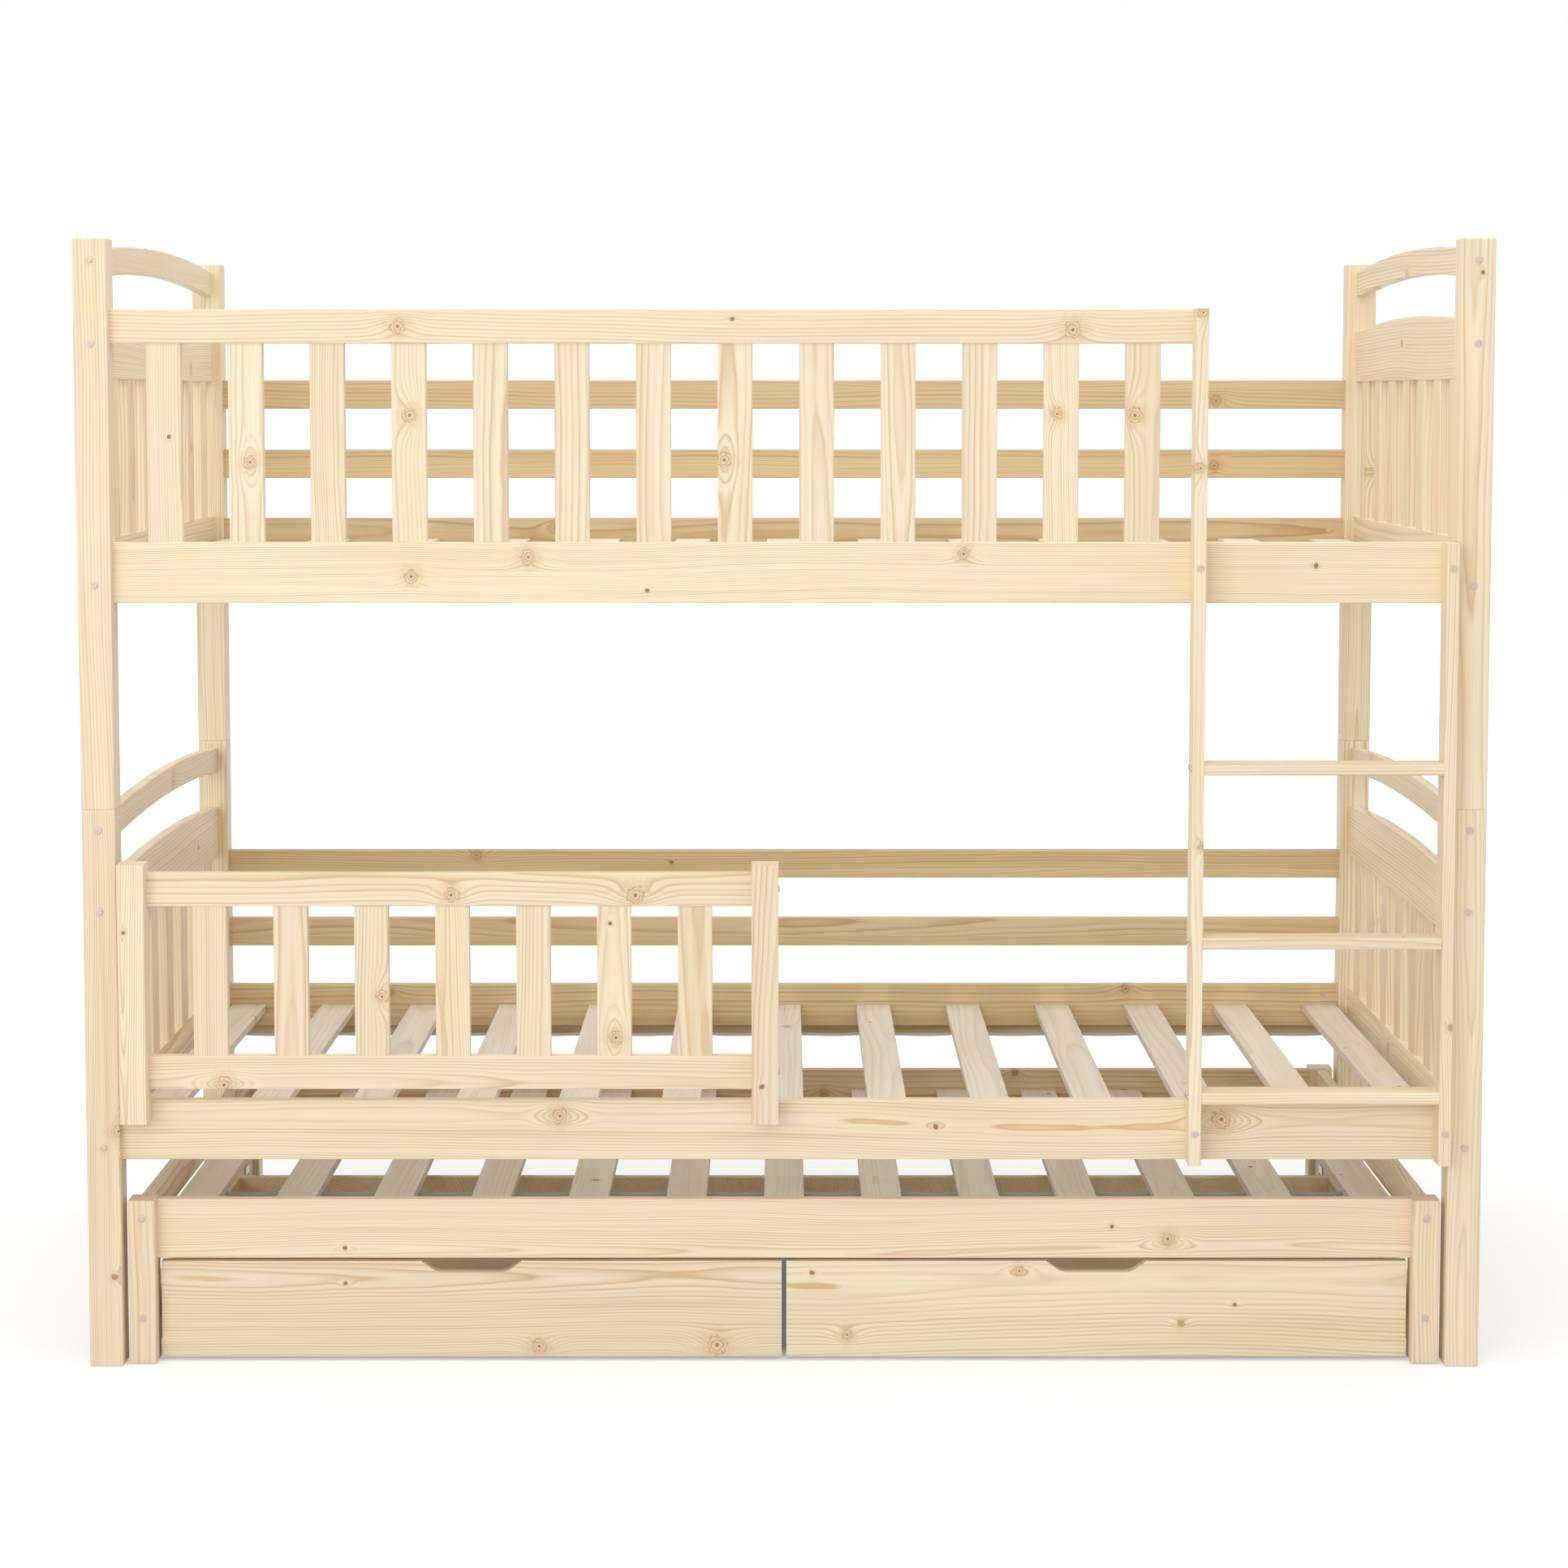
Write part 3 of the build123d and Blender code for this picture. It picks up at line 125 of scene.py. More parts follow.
@dataclass
class NodeSheet:
    """A node tree and short ways to add nodes to it."""

    tree: Tree

    def add(self, kind: str, **settings: object) -> Node:
        """Add a node.

        Args:
            kind: The node's type name.
            **settings: Properties to set on the node.

        Returns:
            The new node.
        """
        node = self.tree.nodes.new(kind)
        for name, value in settings.items():
            setattr(node, name, value)
        return node

    def feed(self, socket: Socket, value: object) -> None:
        """Link a socket to an input, or set the input's own value."""
        if isinstance(value, Socket):
            self.tree.links.new(value, socket)
        else:
            socket.default_value = value

    def feed_all(self, node: Node, values: dict[str | int, object]) -> Node:
        """Feed a node's inputs, by name or number, and give the node back."""
        for key, value in values.items():
            self.feed(node.inputs[key], value)
        return node

    def maths(self, operation: str, *values: object, clamp: bool = False) -> Socket:
        """Add a maths node.

        Args:
            operation: The node's operation.
            *values: Its inputs, sockets or numbers.
            clamp: Whether the result is kept between 0 and 1.

        Returns:
            The result.
        """
        node = self.add("ShaderNodeMath", operation=operation, use_clamp=clamp)
        return self.feed_all(node, dict(enumerate(values))).outputs[0]

    def times(self, first: object, second: object) -> Socket:
        """Multiply two numbers."""
        return self.maths("MULTIPLY", first, second)

    def scaled(self, value: object, factor: object, added: object) -> Socket:
        """Multiply a number and add another one."""
        return self.maths("MULTIPLY_ADD", value, factor, added)

    def nudged(self, value: object, chance: object, amount: float) -> Socket:
        """Move a number to either side, by a chance from 0 to 1 and the whole way there is."""
        return self.scaled(self.maths("SUBTRACT", chance, 0.5), amount, value)

    def vector(self, operation: str, *values: object) -> Socket:
        """Add a vector maths node.

        Args:
            operation: The node's operation.
            *values: Its inputs, sockets or triples.

        Returns:
            The vector that comes out, or the number where the operation gives one.
        """
        node = self.add("ShaderNodeVectorMath", operation=operation)
        self.feed_all(node, dict(enumerate(values)))
        return node.outputs["Value" if operation in ("LENGTH", "DISTANCE") else "Vector"]

    def split(self, vector: Socket) -> list[Socket]:
        """Split a vector into its three numbers."""
        return list(self.feed_all(self.add("ShaderNodeSeparateXYZ"), {0: vector}).outputs)

    def join(self, x: object, y: object, z: object) -> Socket:
        """Join three numbers into a vector."""
        node = self.add("ShaderNodeCombineXYZ")
        return self.feed_all(node, {0: x, 1: y, 2: z}).outputs[0]

    def noise(
        self,
        vector: Socket,
        scale: float,
        detail: float = 2.0,
        roughness: float = 0.5,
    ) -> Node:
        """Add a noise texture.

        Args:
            vector: Where it is read.
            scale: Its scale.
            detail: Its number of finer layers.
            roughness: How strong the finer layers are.

        Returns:
            The node.
        """
        values = {"Vector": vector, "Scale": scale, "Detail": detail, "Roughness": roughness}
        return self.feed_all(self.add("ShaderNodeTexNoise"), values)

    def smooth(
        self, value: object, low: float, high: float, start: float = 0.0, end: float = 1.0
    ) -> Socket:
        """Ease a number from one range into another.

        Args:
            value: The number.
            low: Where the easing starts.
            high: Where it ends.
            start: What comes out at its start.
            end: What comes out at its end.

        Returns:
            The eased number.
        """
        node = self.add("ShaderNodeMapRange", interpolation_type="SMOOTHSTEP")
        limits = {"From Min": low, "From Max": high, "To Min": start, "To Max": end}
        return self.feed_all(node, {"Value": value, **limits}).outputs["Result"]

    def ramp(self, value: Socket, stops: Sequence[tuple[float, float]]) -> Socket:
        """Turn a number into another one along a line of stops.

        Args:
            value: The number.
            stops: Pairs of a place and the number there.

        Returns:
            The number that comes out.
        """
        node = self.add("ShaderNodeValToRGB")
        band = node.color_ramp
        for place, level in stops[2:]:
            band.elements.new(place)
        for element, (place, level) in zip(band.elements, stops):
            element.position = place
            element.color = (level, level, level, 1.0)
        self.feed(node.inputs[0], value)
        return node.outputs[0]

    def mix(self, factor: object, first: object, second: object, blend: str = "MIX") -> Socket:
        """Mix two colours.

        Args:
            factor: How much of the second one there is.
            first: The first colour.
            second: The second colour.
            blend: How they are blended.

        Returns:
            The mixed colour.
        """
        node = self.add("ShaderNodeMix", data_type="RGBA", blend_type=blend)
        return self.feed_all(node, {0: factor, 6: first, 7: second}).outputs[2]

    def emboss(self, shader: Node, height: object, strength: float, distance: float) -> None:
        """Let a height raise a shader's surface.

        Args:
            shader: The shader.
            height: The height, from 0 to 1.
            strength: How strongly it shows.
            distance: How far 1 stands out, in metres.
        """
        values = {"Strength": strength, "Distance": distance, "Height": height}
        bump = self.feed_all(self.add("ShaderNodeBump"), values)
        self.feed(shader.inputs["Normal"], bump.outputs["Normal"])

    def seen(self) -> Socket:
        """Tell rays that show a surface from those that only carry its light."""
        rays = self.add("ShaderNodeLightPath").outputs
        mirrored = self.maths("MAXIMUM", rays["Is Camera Ray"], rays["Is Glossy Ray"])
        return self.maths("MAXIMUM", mirrored, rays["Is Transmission Ray"])

    def use(self, group: Tree, **values: object) -> Node:
        """Add a node group.

        Args:
            group: The group.
            **values: Its inputs by name.

        Returns:
            The group's node.
        """
        return self.feed_all(self.add("ShaderNodeGroup", node_tree=group), values)

    def hand_out(self, **values: object) -> Tree:
        """End a node group.

        Args:
            **values: What comes out of it, by name.

        Returns:
            The group.
        """
        self.feed_all(self.add("NodeGroupOutput"), values)
        return self.tree


VECTOR, FLOAT = "NodeSocketVector", "NodeSocketFloat"


def new_group(
    name: str, inputs: dict[str, str], outputs: dict[str, str]
) -> tuple[NodeSheet, list[Socket]]:
    """Start a node group.

    Args:
        name: The group's name.
        inputs: The kinds of its inputs by name.
        outputs: The kinds of its outputs by name.

    Returns:
        The sheet to add nodes to, and what comes in, in the order of the inputs.
    """
    tree = bpy.data.node_groups.new(name, "ShaderNodeTree")
    for way, sockets in (("INPUT", inputs), ("OUTPUT", outputs)):
        for socket, kind in sockets.items():
            tree.interface.new_socket(socket, in_out=way, socket_type=kind)
    sheet = NodeSheet(tree)
    return sheet, list(sheet.add("NodeGroupInput").outputs)[: len(inputs)]


def new_material(name: str) -> tuple[Material, NodeSheet, Node, Socket]:
    """Start a material whose figure is fixed to the object.

    Args:
        name: The material's name.

    Returns:
        The material, the sheet to add nodes to, its shader and the places in the object.
    """
    material = bpy.data.materials.new(name)
    material.use_nodes = True
    sheet = NodeSheet(material.node_tree)
    place = sheet.add("ShaderNodeTexCoord").outputs["Object"]
    return material, sheet, sheet.tree.nodes["Principled BSDF"], place


KNOT_PUSH = 1.35  # how far a knot pushes the rings, in its own radii
KNOT_FALL = -0.42  # how fast that push fades away from it
KNOTS_PER_METRE = (2.6, 7.0)  # loose knots along a board and across it
LEAST_KNOT, KNOT_GROWTH = 0.0022, 0.0105  # radius of the least loose knot, and what may be added
PITH_SIDE, PITH_DEPTH, PITH_NEAREST = 0.11, 0.05, 0.022  # where a board's stem had its middle
YEAR_PROFILE = ((0.0, 0.3), (0.12, 0.0), (0.5, 0.1), (0.8, 0.62), (0.92, 1.0), (1.0, 0.3))


@dataclass
class PineFigure:
    """The node groups that draw pine: the boards' grid, knots, loose knots and growth rings."""

    board: Tree = field(init=False)
    knot: Tree = field(init=False)
    scatter: Tree = field(init=False)
    rings: Tree = field(init=False)

    def __post_init__(self) -> None:
        """Build the groups."""
        self.board = self.build_board()
        self.knot = self.build_knot()
        self.scatter = self.build_scatter()
        self.rings = self.build_rings()

    def build_board(self) -> Tree:
        """Build the group that finds which board a point is in.

        Returns:
            The group.
        """
        sheet, (place, start, pitch, seed) = new_group(
            "which_board",
            dict(Place=VECTOR, Start=VECTOR, Pitch=VECTOR, Seed=VECTOR),
            dict(Local=VECTOR, Random=VECTOR),
        )
        steps = sheet.vector("DIVIDE", sheet.vector("SUBTRACT", place, start), pitch)
        index = sheet.vector("FLOOR", steps)
        inside = sheet.vector("SUBTRACT", sheet.vector("SUBTRACT", steps, index), (0.5, 0.5, 0.5))
        white = sheet.add("ShaderNodeTexWhiteNoise", noise_dimensions="3D")
        sheet.feed(white.inputs["Vector"], sheet.vector("ADD", index, seed))
        local = sheet.vector("MULTIPLY", inside, pitch)
        return sheet.hand_out(Local=local, Random=white.outputs["Color"])

    @staticmethod
    def swell(
        sheet: NodeSheet, along: object, across: object, radius: object
    ) -> tuple[Socket, Socket]:
        """Work out how a knot pushes the growth rings around it apart.

        Args:
            sheet: The sheet to add nodes to.
            along: Distance from the knot along the board.
            across: Distance from the knot across the board.
            radius: The knot's radius.

        Returns:
            The distance from the knot in radii, and how far it pushes the rings.
        """
        round_place = sheet.vector("LENGTH", sheet.join(along, across, 0.0))
        near = sheet.maths("DIVIDE", round_place, radius)
        drawn = sheet.join(sheet.times(along, 0.5), across, 0.0)
        reach = sheet.maths("DIVIDE", sheet.vector("LENGTH", drawn), radius)
        fall = sheet.times(sheet.times(reach, reach), KNOT_FALL)
        push = sheet.times(sheet.maths("EXPONENT", fall), radius)
        return near, sheet.times(push, KNOT_PUSH)

    def build_knot(self) -> Tree:
        """Build the group that adds one knot to those before it.

        Returns:
            The group.
        """
        found = dict(Near=FLOAT, Push=FLOAT, Dark=FLOAT)
        sheet, (place, centre, radius, last_near, last_push, last_dark) = new_group(
            "one_knot", dict(Place=VECTOR, Centre=VECTOR, Radius=FLOAT, **found), found
        )
        along, across, _ = sheet.split(sheet.vector("SUBTRACT", place, centre))
        near, push = self.swell(sheet, along, across, radius)
        nearer = sheet.maths("LESS_THAN", near, last_near)
        dark = sheet.smooth(radius, 0.0032, 0.0065, 1.0, 0.0)
        kept = sheet.times(last_dark, sheet.maths("SUBTRACT", 1.0, nearer))
        return sheet.hand_out(
            Near=sheet.maths("MINIMUM", near, last_near),
            Push=sheet.maths("MAXIMUM", push, last_push),
            Dark=sheet.maths("ADD", kept, sheet.times(dark, nearer)),
        )

    def build_scatter(self) -> Tree:
        """Build the group that strews knots of mixed sizes over boards.

        Returns:
            The group.
        """
        sheet, (place, random, size) = new_group(
            "loose_knots",
            dict(Place=VECTOR, Random=VECTOR, Size=FLOAT),
            dict(Near=FLOAT, Push=FLOAT, Dark=FLOAT),
        )
        shifted = sheet.vector("MULTIPLY", random, (19.0, 23.0, 0.0))
        place = sheet.vector("MULTIPLY", place, (*KNOTS_PER_METRE, 0.0))
        place = sheet.vector("ADD", place, shifted)
        cells = sheet.add("ShaderNodeTexVoronoi", voronoi_dimensions="2D", feature="F1")
        sheet.feed_all(cells, {"Vector": place, "Scale": 1.0, "Randomness": 0.85})
        away = sheet.vector("SUBTRACT", place, cells.outputs["Position"])
        away = sheet.vector("DIVIDE", away, (*KNOTS_PER_METRE, 1.0))
        along, across, _ = sheet.split(away)
        chance, _, _ = sheet.split(cells.outputs["Color"])
        grown = sheet.maths("POWER", chance, 2.2)
        radius = sheet.times(sheet.scaled(grown, KNOT_GROWTH, LEAST_KNOT), size)
        radius = sheet.maths("MAXIMUM", radius, 0.00005)
        near, push = self.swell(sheet, along, across, radius)
        dark = sheet.smooth(radius, 0.003, 0.0075, 1.0, 0.0)
        return sheet.hand_out(Near=near, Push=push, Dark=dark)

    def build_rings(self) -> Tree:
        """Build the group that cuts a board out of a tree: rings, fibres and broad patches.

        Returns:
            The group.
        """
        sheet, (place, random, push, spacing) = new_group(
            "growth_rings",
            dict(Place=VECTOR, Random=VECTOR, Push=FLOAT, Spacing=FLOAT),
            dict(Ring=FLOAT, Fibre=FLOAT, Patch=FLOAT, Streak=FLOAT),
        )
        first, second, third = sheet.split(random)
        along, across, through = sheet.split(place)
        shift = sheet.times(first, 37.0)

        def drawn(stretch: Place, start: Socket, detail: float, roughness: float = 0.5) -> Socket:
            """Read a noise that is drawn out along the board."""
            stretched = sheet.join(
                sheet.scaled(along, stretch[0], start),
                sheet.times(across, stretch[1]),
                sheet.times(through, stretch[2]),
            )
            return sheet.noise(stretched, 1.0, detail, roughness).outputs["Fac"]

        slow_place = sheet.join(sheet.scaled(along, 1.3, shift), sheet.times(across, 3.0), second)
        sway, lift, _ = sheet.split(sheet.noise(slow_place, 1.0, 1.5).outputs["Color"])
        side = sheet.nudged(sheet.nudged(across, second, PITH_SIDE), sway, 0.05)
        depth = sheet.maths("ADD", through, sheet.scaled(third, PITH_DEPTH, PITH_NEAREST))
        depth = sheet.nudged(depth, lift, 0.035)
        reach = sheet.vector("LENGTH", sheet.join(side, depth, 0.0))
        taper = sheet.times(sheet.maths("SUBTRACT", first, 0.5), 0.012)
        reach = sheet.maths("SUBTRACT", sheet.scaled(along, taper, reach), push)
        reach = sheet.nudged(reach, drawn((7.0, 34.0, 34.0), shift, 2.0), 0.0032)
        growth = sheet.smooth(third, 0.0, 1.0, 0.7, 1.35)
        count = sheet.maths("DIVIDE", reach, sheet.times(spacing, growth))
        profile = sheet.ramp(sheet.maths("FRACT", count), YEAR_PROFILE)
        year = sheet.add("ShaderNodeTexWhiteNoise", noise_dimensions="2D")
        sheet.feed(year.inputs["Vector"], sheet.join(sheet.maths("FLOOR", count), shift, 0.0))
        strength = sheet.smooth(year.outputs["Value"], 0.0, 1.0, 0.4, 1.0)
        return sheet.hand_out(
            Ring=sheet.times(profile, strength),
            Fibre=drawn((5.0, 420.0, 420.0), shift, 3.0, 0.6),
            Patch=drawn((1.6, 14.0, 9.0), shift, 2.0),
            Streak=drawn((1.1, 85.0, 60.0), sheet.times(third, 29.0), 2.0),
        )


@dataclass(frozen=True)
class PineFinish:
    """A wood finish: its colours, the width of its growth rings and how strongly they show."""

    name: str
    pale: Colour
    warm: Colour
    line: Colour
    blush: Colour
    knot: Colour
    heart: Colour
    pin: Colour = paint(128, 94, 66)
    spacing: float = 0.0048
    contrast: float = 0.95
    knot_size: float = 1.0
    roughness: float = 0.5
    relief: float = 0.25

    def dress(self, figure: PineFigure, objects: Sequence[Piece], lot: Lot) -> None:
        """Give boards this finish, with the fibres along their length.

        Args:
            figure: The groups that draw pine.
            objects: The boards' objects.
            lot: How they lie, the grid that tells them apart and their knots.
        """
        material, sheet, shader, place = new_material(f"{self.name}_{objects[0].name}")
        grid = lot.boards
        board = sheet.use(
            figure.board,
            Place=place,
            Start=grid.start,
            Pitch=grid.pitch,
            Seed=(grid.seed, grid.seed * 0.37, 0.5),
        )
        local = sheet.split(board.outputs["Local"])
        random = board.outputs["Random"]
        turned = sheet.join(*(local[axis] for axis in lot.grain.value))
        if lot.rail_behind is not None:
            behind = sheet.maths("GREATER_THAN", sheet.split(place)[1], lot.rail_behind)
            rail = sheet.join(*(local[axis] for axis in Grain.RAIL.value))
            switch = sheet.add("ShaderNodeMix", data_type="VECTOR")
            turned = sheet.feed_all(switch, {0: behind, 4: turned, 5: rail}).outputs[1]
        if lot.knots:
            near, push, dark = self.placed_knots(sheet, figure, place, lot)
        else:
            loose = sheet.use(figure.scatter, Place=turned, Random=random, Size=self.knot_size)
            near, push, dark = (loose.outputs[name] for name in ("Near", "Push", "Dark"))
        ragged = sheet.noise(place, 140.0, 2.0).outputs["Fac"]
        near = sheet.times(near, sheet.smooth(ragged, 0.3, 0.7, 0.82, 1.18))
        rings = sheet.use(
            figure.rings, Place=turned, Random=random, Push=push, Spacing=self.spacing
        )
        colour = self.body_colour(sheet, rings, random)
        colour = self.knot_colour(sheet, colour, near, dark)
        sheet.feed(shader.inputs["Base Color"], colour)
        fibre = rings.outputs["Fibre"]
        sheet.feed(
            shader.inputs["Roughness"],
            sheet.smooth(fibre, 0.2, 0.8, self.roughness - 0.06, self.roughness + 0.08),
        )
        shader.inputs["Specular IOR Level"].default_value = 0.32
        height = sheet.scaled(rings.outputs["Ring"], 0.5, fibre)
        sheet.emboss(shader, height, self.relief, 0.0003)
        for piece in objects:
            wear(piece, material)

    @staticmethod
    def placed_knots(
        sheet: NodeSheet, figure: PineFigure, place: Socket, lot: Lot
    ) -> tuple[object, object, object]:
        """Chain knots in their own places.

        Args:
            sheet: The sheet to add nodes to.
            figure: The groups that draw pine.
            place: The places in the object.
            lot: The boards and their knots.

        Returns:
            Distance from the nearest knot in radii, its push on the rings and its darkness.
        """
        whole = sheet.split(place)
        flat = sheet.join(whole[lot.grain.value[0]], whole[lot.grain.value[1]], 0.0)
        found: tuple[object, object, object] = (9.0, 0.0, 0.0)
        for knot in lot.knots:
            centre = (knot.along, knot.across, 0.0)
            before = dict(zip(("Near", "Push", "Dark"), found))
            one = sheet.use(figure.knot, Place=flat, Centre=centre, Radius=knot.radius, **before)
            found = tuple(one.outputs[name] for name in before)
        return found

    def body_colour(self, sheet: NodeSheet, rings: Node, random: Socket) -> Socket:
        """Colour the wood between its knots.

        Args:
            sheet: The sheet to add nodes to.
            rings: The growth ring group's node.
            random: The board's own random vector.

        Returns:
            The colour.
        """
        first, second, _ = sheet.split(random)
        colour = sheet.mix(sheet.smooth(rings.outputs["Patch"], 0.42, 0.72), self.pale, self.warm)
        blush = sheet.smooth(first, 0.3, 1.0, 0.0, 0.75)
        colour = sheet.mix(blush, colour, self.blush)
        streak = sheet.smooth(rings.outputs["Streak"], 0.52, 0.8, 0.0, 0.26)
        colour = sheet.mix(streak, colour, self.line)
        light = sheet.smooth(rings.outputs["Streak"], 0.44, 0.28, 0.0, 0.4)
        colour = sheet.mix(light, colour, self.pale)
        ring = sheet.times(rings.outputs["Ring"], self.contrast)
        colour = sheet.mix(ring, colour, self.line)
        shade = sheet.smooth(rings.outputs["Fibre"], 0.25, 0.75, 0.95, 1.03)
        shade = sheet.times(shade, sheet.smooth(second, 0.0, 1.0, 0.965, 1.02))
        grey = sheet.add("ShaderNodeCombineColor")
        sheet.feed_all(grey, {0: shade, 1: shade, 2: shade})
        return sheet.mix(1.0, colour, grey.outputs[0], "MULTIPLY")

    def knot_colour(self, sheet: NodeSheet, colour: Socket, near: object, dark: object) -> Socket:
        """Colour the knots and the darker wood around them.

        Args:
            sheet: The sheet to add nodes to.
            colour: The colour of the wood between the knots.
            near: Distance from the nearest knot in radii.
            dark: How dark the nearest knot is.

        Returns:
            The colour of everything.
        """
        halo = sheet.smooth(near, 2.8, 0.9, 0.0, 0.42)
        colour = sheet.mix(halo, colour, self.line)
        wave = sheet.maths("SINE", sheet.times(near, 13.0))
        turns = sheet.smooth(wave, 0.0, 1.0, 0.0, 0.5)
        inner = sheet.mix(turns, self.knot, self.heart)
        core = sheet.smooth(near, 0.34, 0.1, 0.0, 0.9)
        inner = sheet.mix(core, inner, self.heart)
        rim = sheet.smooth(near, 0.84, 0.98, 0.0, 0.7)
        inner = sheet.mix(rim, inner, self.heart)
        inner = sheet.mix(sheet.times(dark, 0.8), inner, self.pin)
        return sheet.mix(sheet.smooth(near, 1.12, 0.9), colour, inner)


def wear(piece: Piece, material: Material) -> None:
    """Put a material in every slot of a piece."""
    if not piece.material_slots:
        piece.data.materials.append(material)
    for slot in piece.material_slots:
        slot.material = material


CLEAR_PINE = PineFinish(
    name="clear_pine",
    pale=paint(244, 230, 199),
    warm=paint(239, 221, 186),
    line=paint(213, 181, 135),
    blush=paint(238, 219, 189),
    knot=paint(230, 203, 160),
    heart=paint(158, 116, 76),
)
# Deeper pine for the back rails, the ledgers and the roll-out bed's back rail: partly the wood's
# own tone, partly painted shade.
DEEP_PINE_AND_PAINTED_SHADE = PineFinish(
    name="deep_pine_and_painted_shade",
    pale=paint(224, 204, 164),
    warm=paint(218, 193, 148),
    line=paint(192, 157, 106),
    blush=paint(216, 190, 149),
    knot=paint(208, 174, 126),
    heart=paint(140, 98, 62),
)
PLANED_PINE = PineFinish(
    name="planed_pine",
    pale=paint(240, 231, 215),
    warm=paint(232, 220, 201),
    line=paint(208, 190, 166),
    blush=paint(232, 221, 205),
    knot=paint(212, 188, 154),
    heart=paint(160, 126, 94),
    spacing=0.0042,
    contrast=0.45,
    knot_size=0.6,
    roughness=0.62,
)
DRAWER_PLY = PineFinish(
    name="drawer_ply",
    pale=paint(222, 202, 168),
    warm=paint(214, 190, 152),
    line=paint(190, 160, 120),
    blush=paint(214, 192, 158),
    knot=paint(196, 164, 122),
    heart=paint(146, 110, 78),
    spacing=0.009,
    contrast=0.4,
    knot_size=0.0,
    roughness=0.6,
)
DOWEL_BEECH = PineFinish(
    name="dowel_beech",
    pale=paint(214, 178, 138),
    warm=paint(206, 168, 126),
    line=paint(182, 142, 102),
    blush=paint(208, 170, 132),
    knot=paint(190, 150, 110),
    heart=paint(150, 110, 76),
    spacing=0.0016,
    contrast=0.35,
    knot_size=0.0,
    roughness=0.6,
)


@dataclass(frozen=True)
class MetalFinish:
    """A metal finish with faint blotches of tone and polish."""

    name: str
    colour: Colour
    worn: Colour
    metallic: float
    roughness: float

    def material(self) -> Material:
        """Build the material.

        Returns:
            The material.
        """
        material, sheet, shader, place = new_material(self.name)
        blotch = sheet.noise(place, 240.0, 3.0, 0.6).outputs["Fac"]
        grit = sheet.noise(place, 1900.0).outputs["Fac"]
        colour = sheet.mix(sheet.smooth(blotch, 0.35, 0.75), self.colour, self.worn)
        sheet.feed(shader.inputs["Base Color"], colour)
        shader.inputs["Metallic"].default_value = self.metallic
        spread = sheet.smooth(grit, 0.3, 0.7, self.roughness - 0.07, self.roughness + 0.07)
        sheet.feed(shader.inputs["Roughness"], spread)
        sheet.emboss(shader, grit, 0.15, 0.0001)
        return material


COATED_BOLT = MetalFinish(
    "coated_bolt", paint(212, 196, 184), paint(196, 178, 164), metallic=0.15, roughness=0.42
)
ZINC_STEEL = MetalFinish(
    "zinc_steel", paint(196, 192, 186), paint(178, 174, 168), metallic=0.85, roughness=0.36
)


@dataclass(frozen=True)
class MouldedPlastic:
    """A moulded plastic finish with a fine eroded texture."""

    name: str
    colour: Colour
    scuffed: Colour
    roughness: float

    def material(self) -> Material:
        """Build the material.

        Returns:
            The material.
        """
        material, sheet, shader, place = new_material(self.name)
        cloud = sheet.noise(place, 55.0, 4.0, 0.6).outputs["Fac"]
        grit = sheet.noise(place, 1400.0).outputs["Fac"]
        scuffs = sheet.smooth(cloud, 0.5, 0.8, 0.0, 0.5)
        sheet.feed(shader.inputs["Base Color"], sheet.mix(scuffs, self.colour, self.scuffed))
        spread = sheet.smooth(cloud, 0.3, 0.7, self.roughness - 0.08, self.roughness + 0.1)
        sheet.feed(shader.inputs["Roughness"], spread)
        sheet.emboss(shader, grit, 0.2, 0.0002)
        return material


BLACK_PLASTIC = MouldedPlastic("black_plastic", paint(38, 38, 38), paint(70, 70, 70), 0.5)
WHEEL_NYLON = MouldedPlastic("wheel_nylon", paint(62, 62, 64), paint(96, 96, 96), 0.42)


@dataclass(frozen=True)
class WebbingWeave:
    """Grey polyester webbing: yarns over and under each other in a plain weave."""

    name: str = "webbing"
    yarn: Colour = paint(184, 180, 178)
    # colour where the yarns dip under each other: painted shade
    shade_between_yarns: Colour = paint(124, 119, 118)
    pitch: float = 0.0011

    def material(self) -> Material:
        """Build the material.

        Returns:
            The material.
        """
        material, sheet, shader, place = new_material(self.name)
        along, across, _ = sheet.split(place)
        turn = math.pi / self.pitch
        warp = sheet.maths("SINE", sheet.times(along, turn))
        weft = sheet.maths("SINE", sheet.times(across, turn))
        weave = sheet.scaled(sheet.times(warp, weft), 0.5, 0.5)
        fuzz = sheet.noise(place, 900.0).outputs["Fac"]
        # the low places of the weave are darker, painted shade between the yarns; the fuzz is the
        # yarn's own random tone
        raised = sheet.times(weave, 0.6)
        depth = sheet.maths("MULTIPLY_ADD", fuzz, 0.4, raised, clamp=True)
        sheet.feed(shader.inputs["Base Color"], sheet.mix(depth, self.shade_between_yarns, self.yarn))
        shader.inputs["Roughness"].default_value = 0.85
        shader.inputs["Sheen Weight"].default_value = 0.25
        sheet.emboss(shader, weave, 0.6, 0.0003)
        return material


@dataclass(frozen=True)
class Lot:
    """Boards that are dressed together.

    In their grid a pitch of 10 m takes everything along that axis as one board. A box may
    have walls that lie as rails from some y on.
    """

    names: Sequence[str]
    grain: Grain
    boards: Boards
    knots: Sequence[Knot] = ()
    finish: PineFinish = CLEAR_PINE
    rail_behind: float | None = None


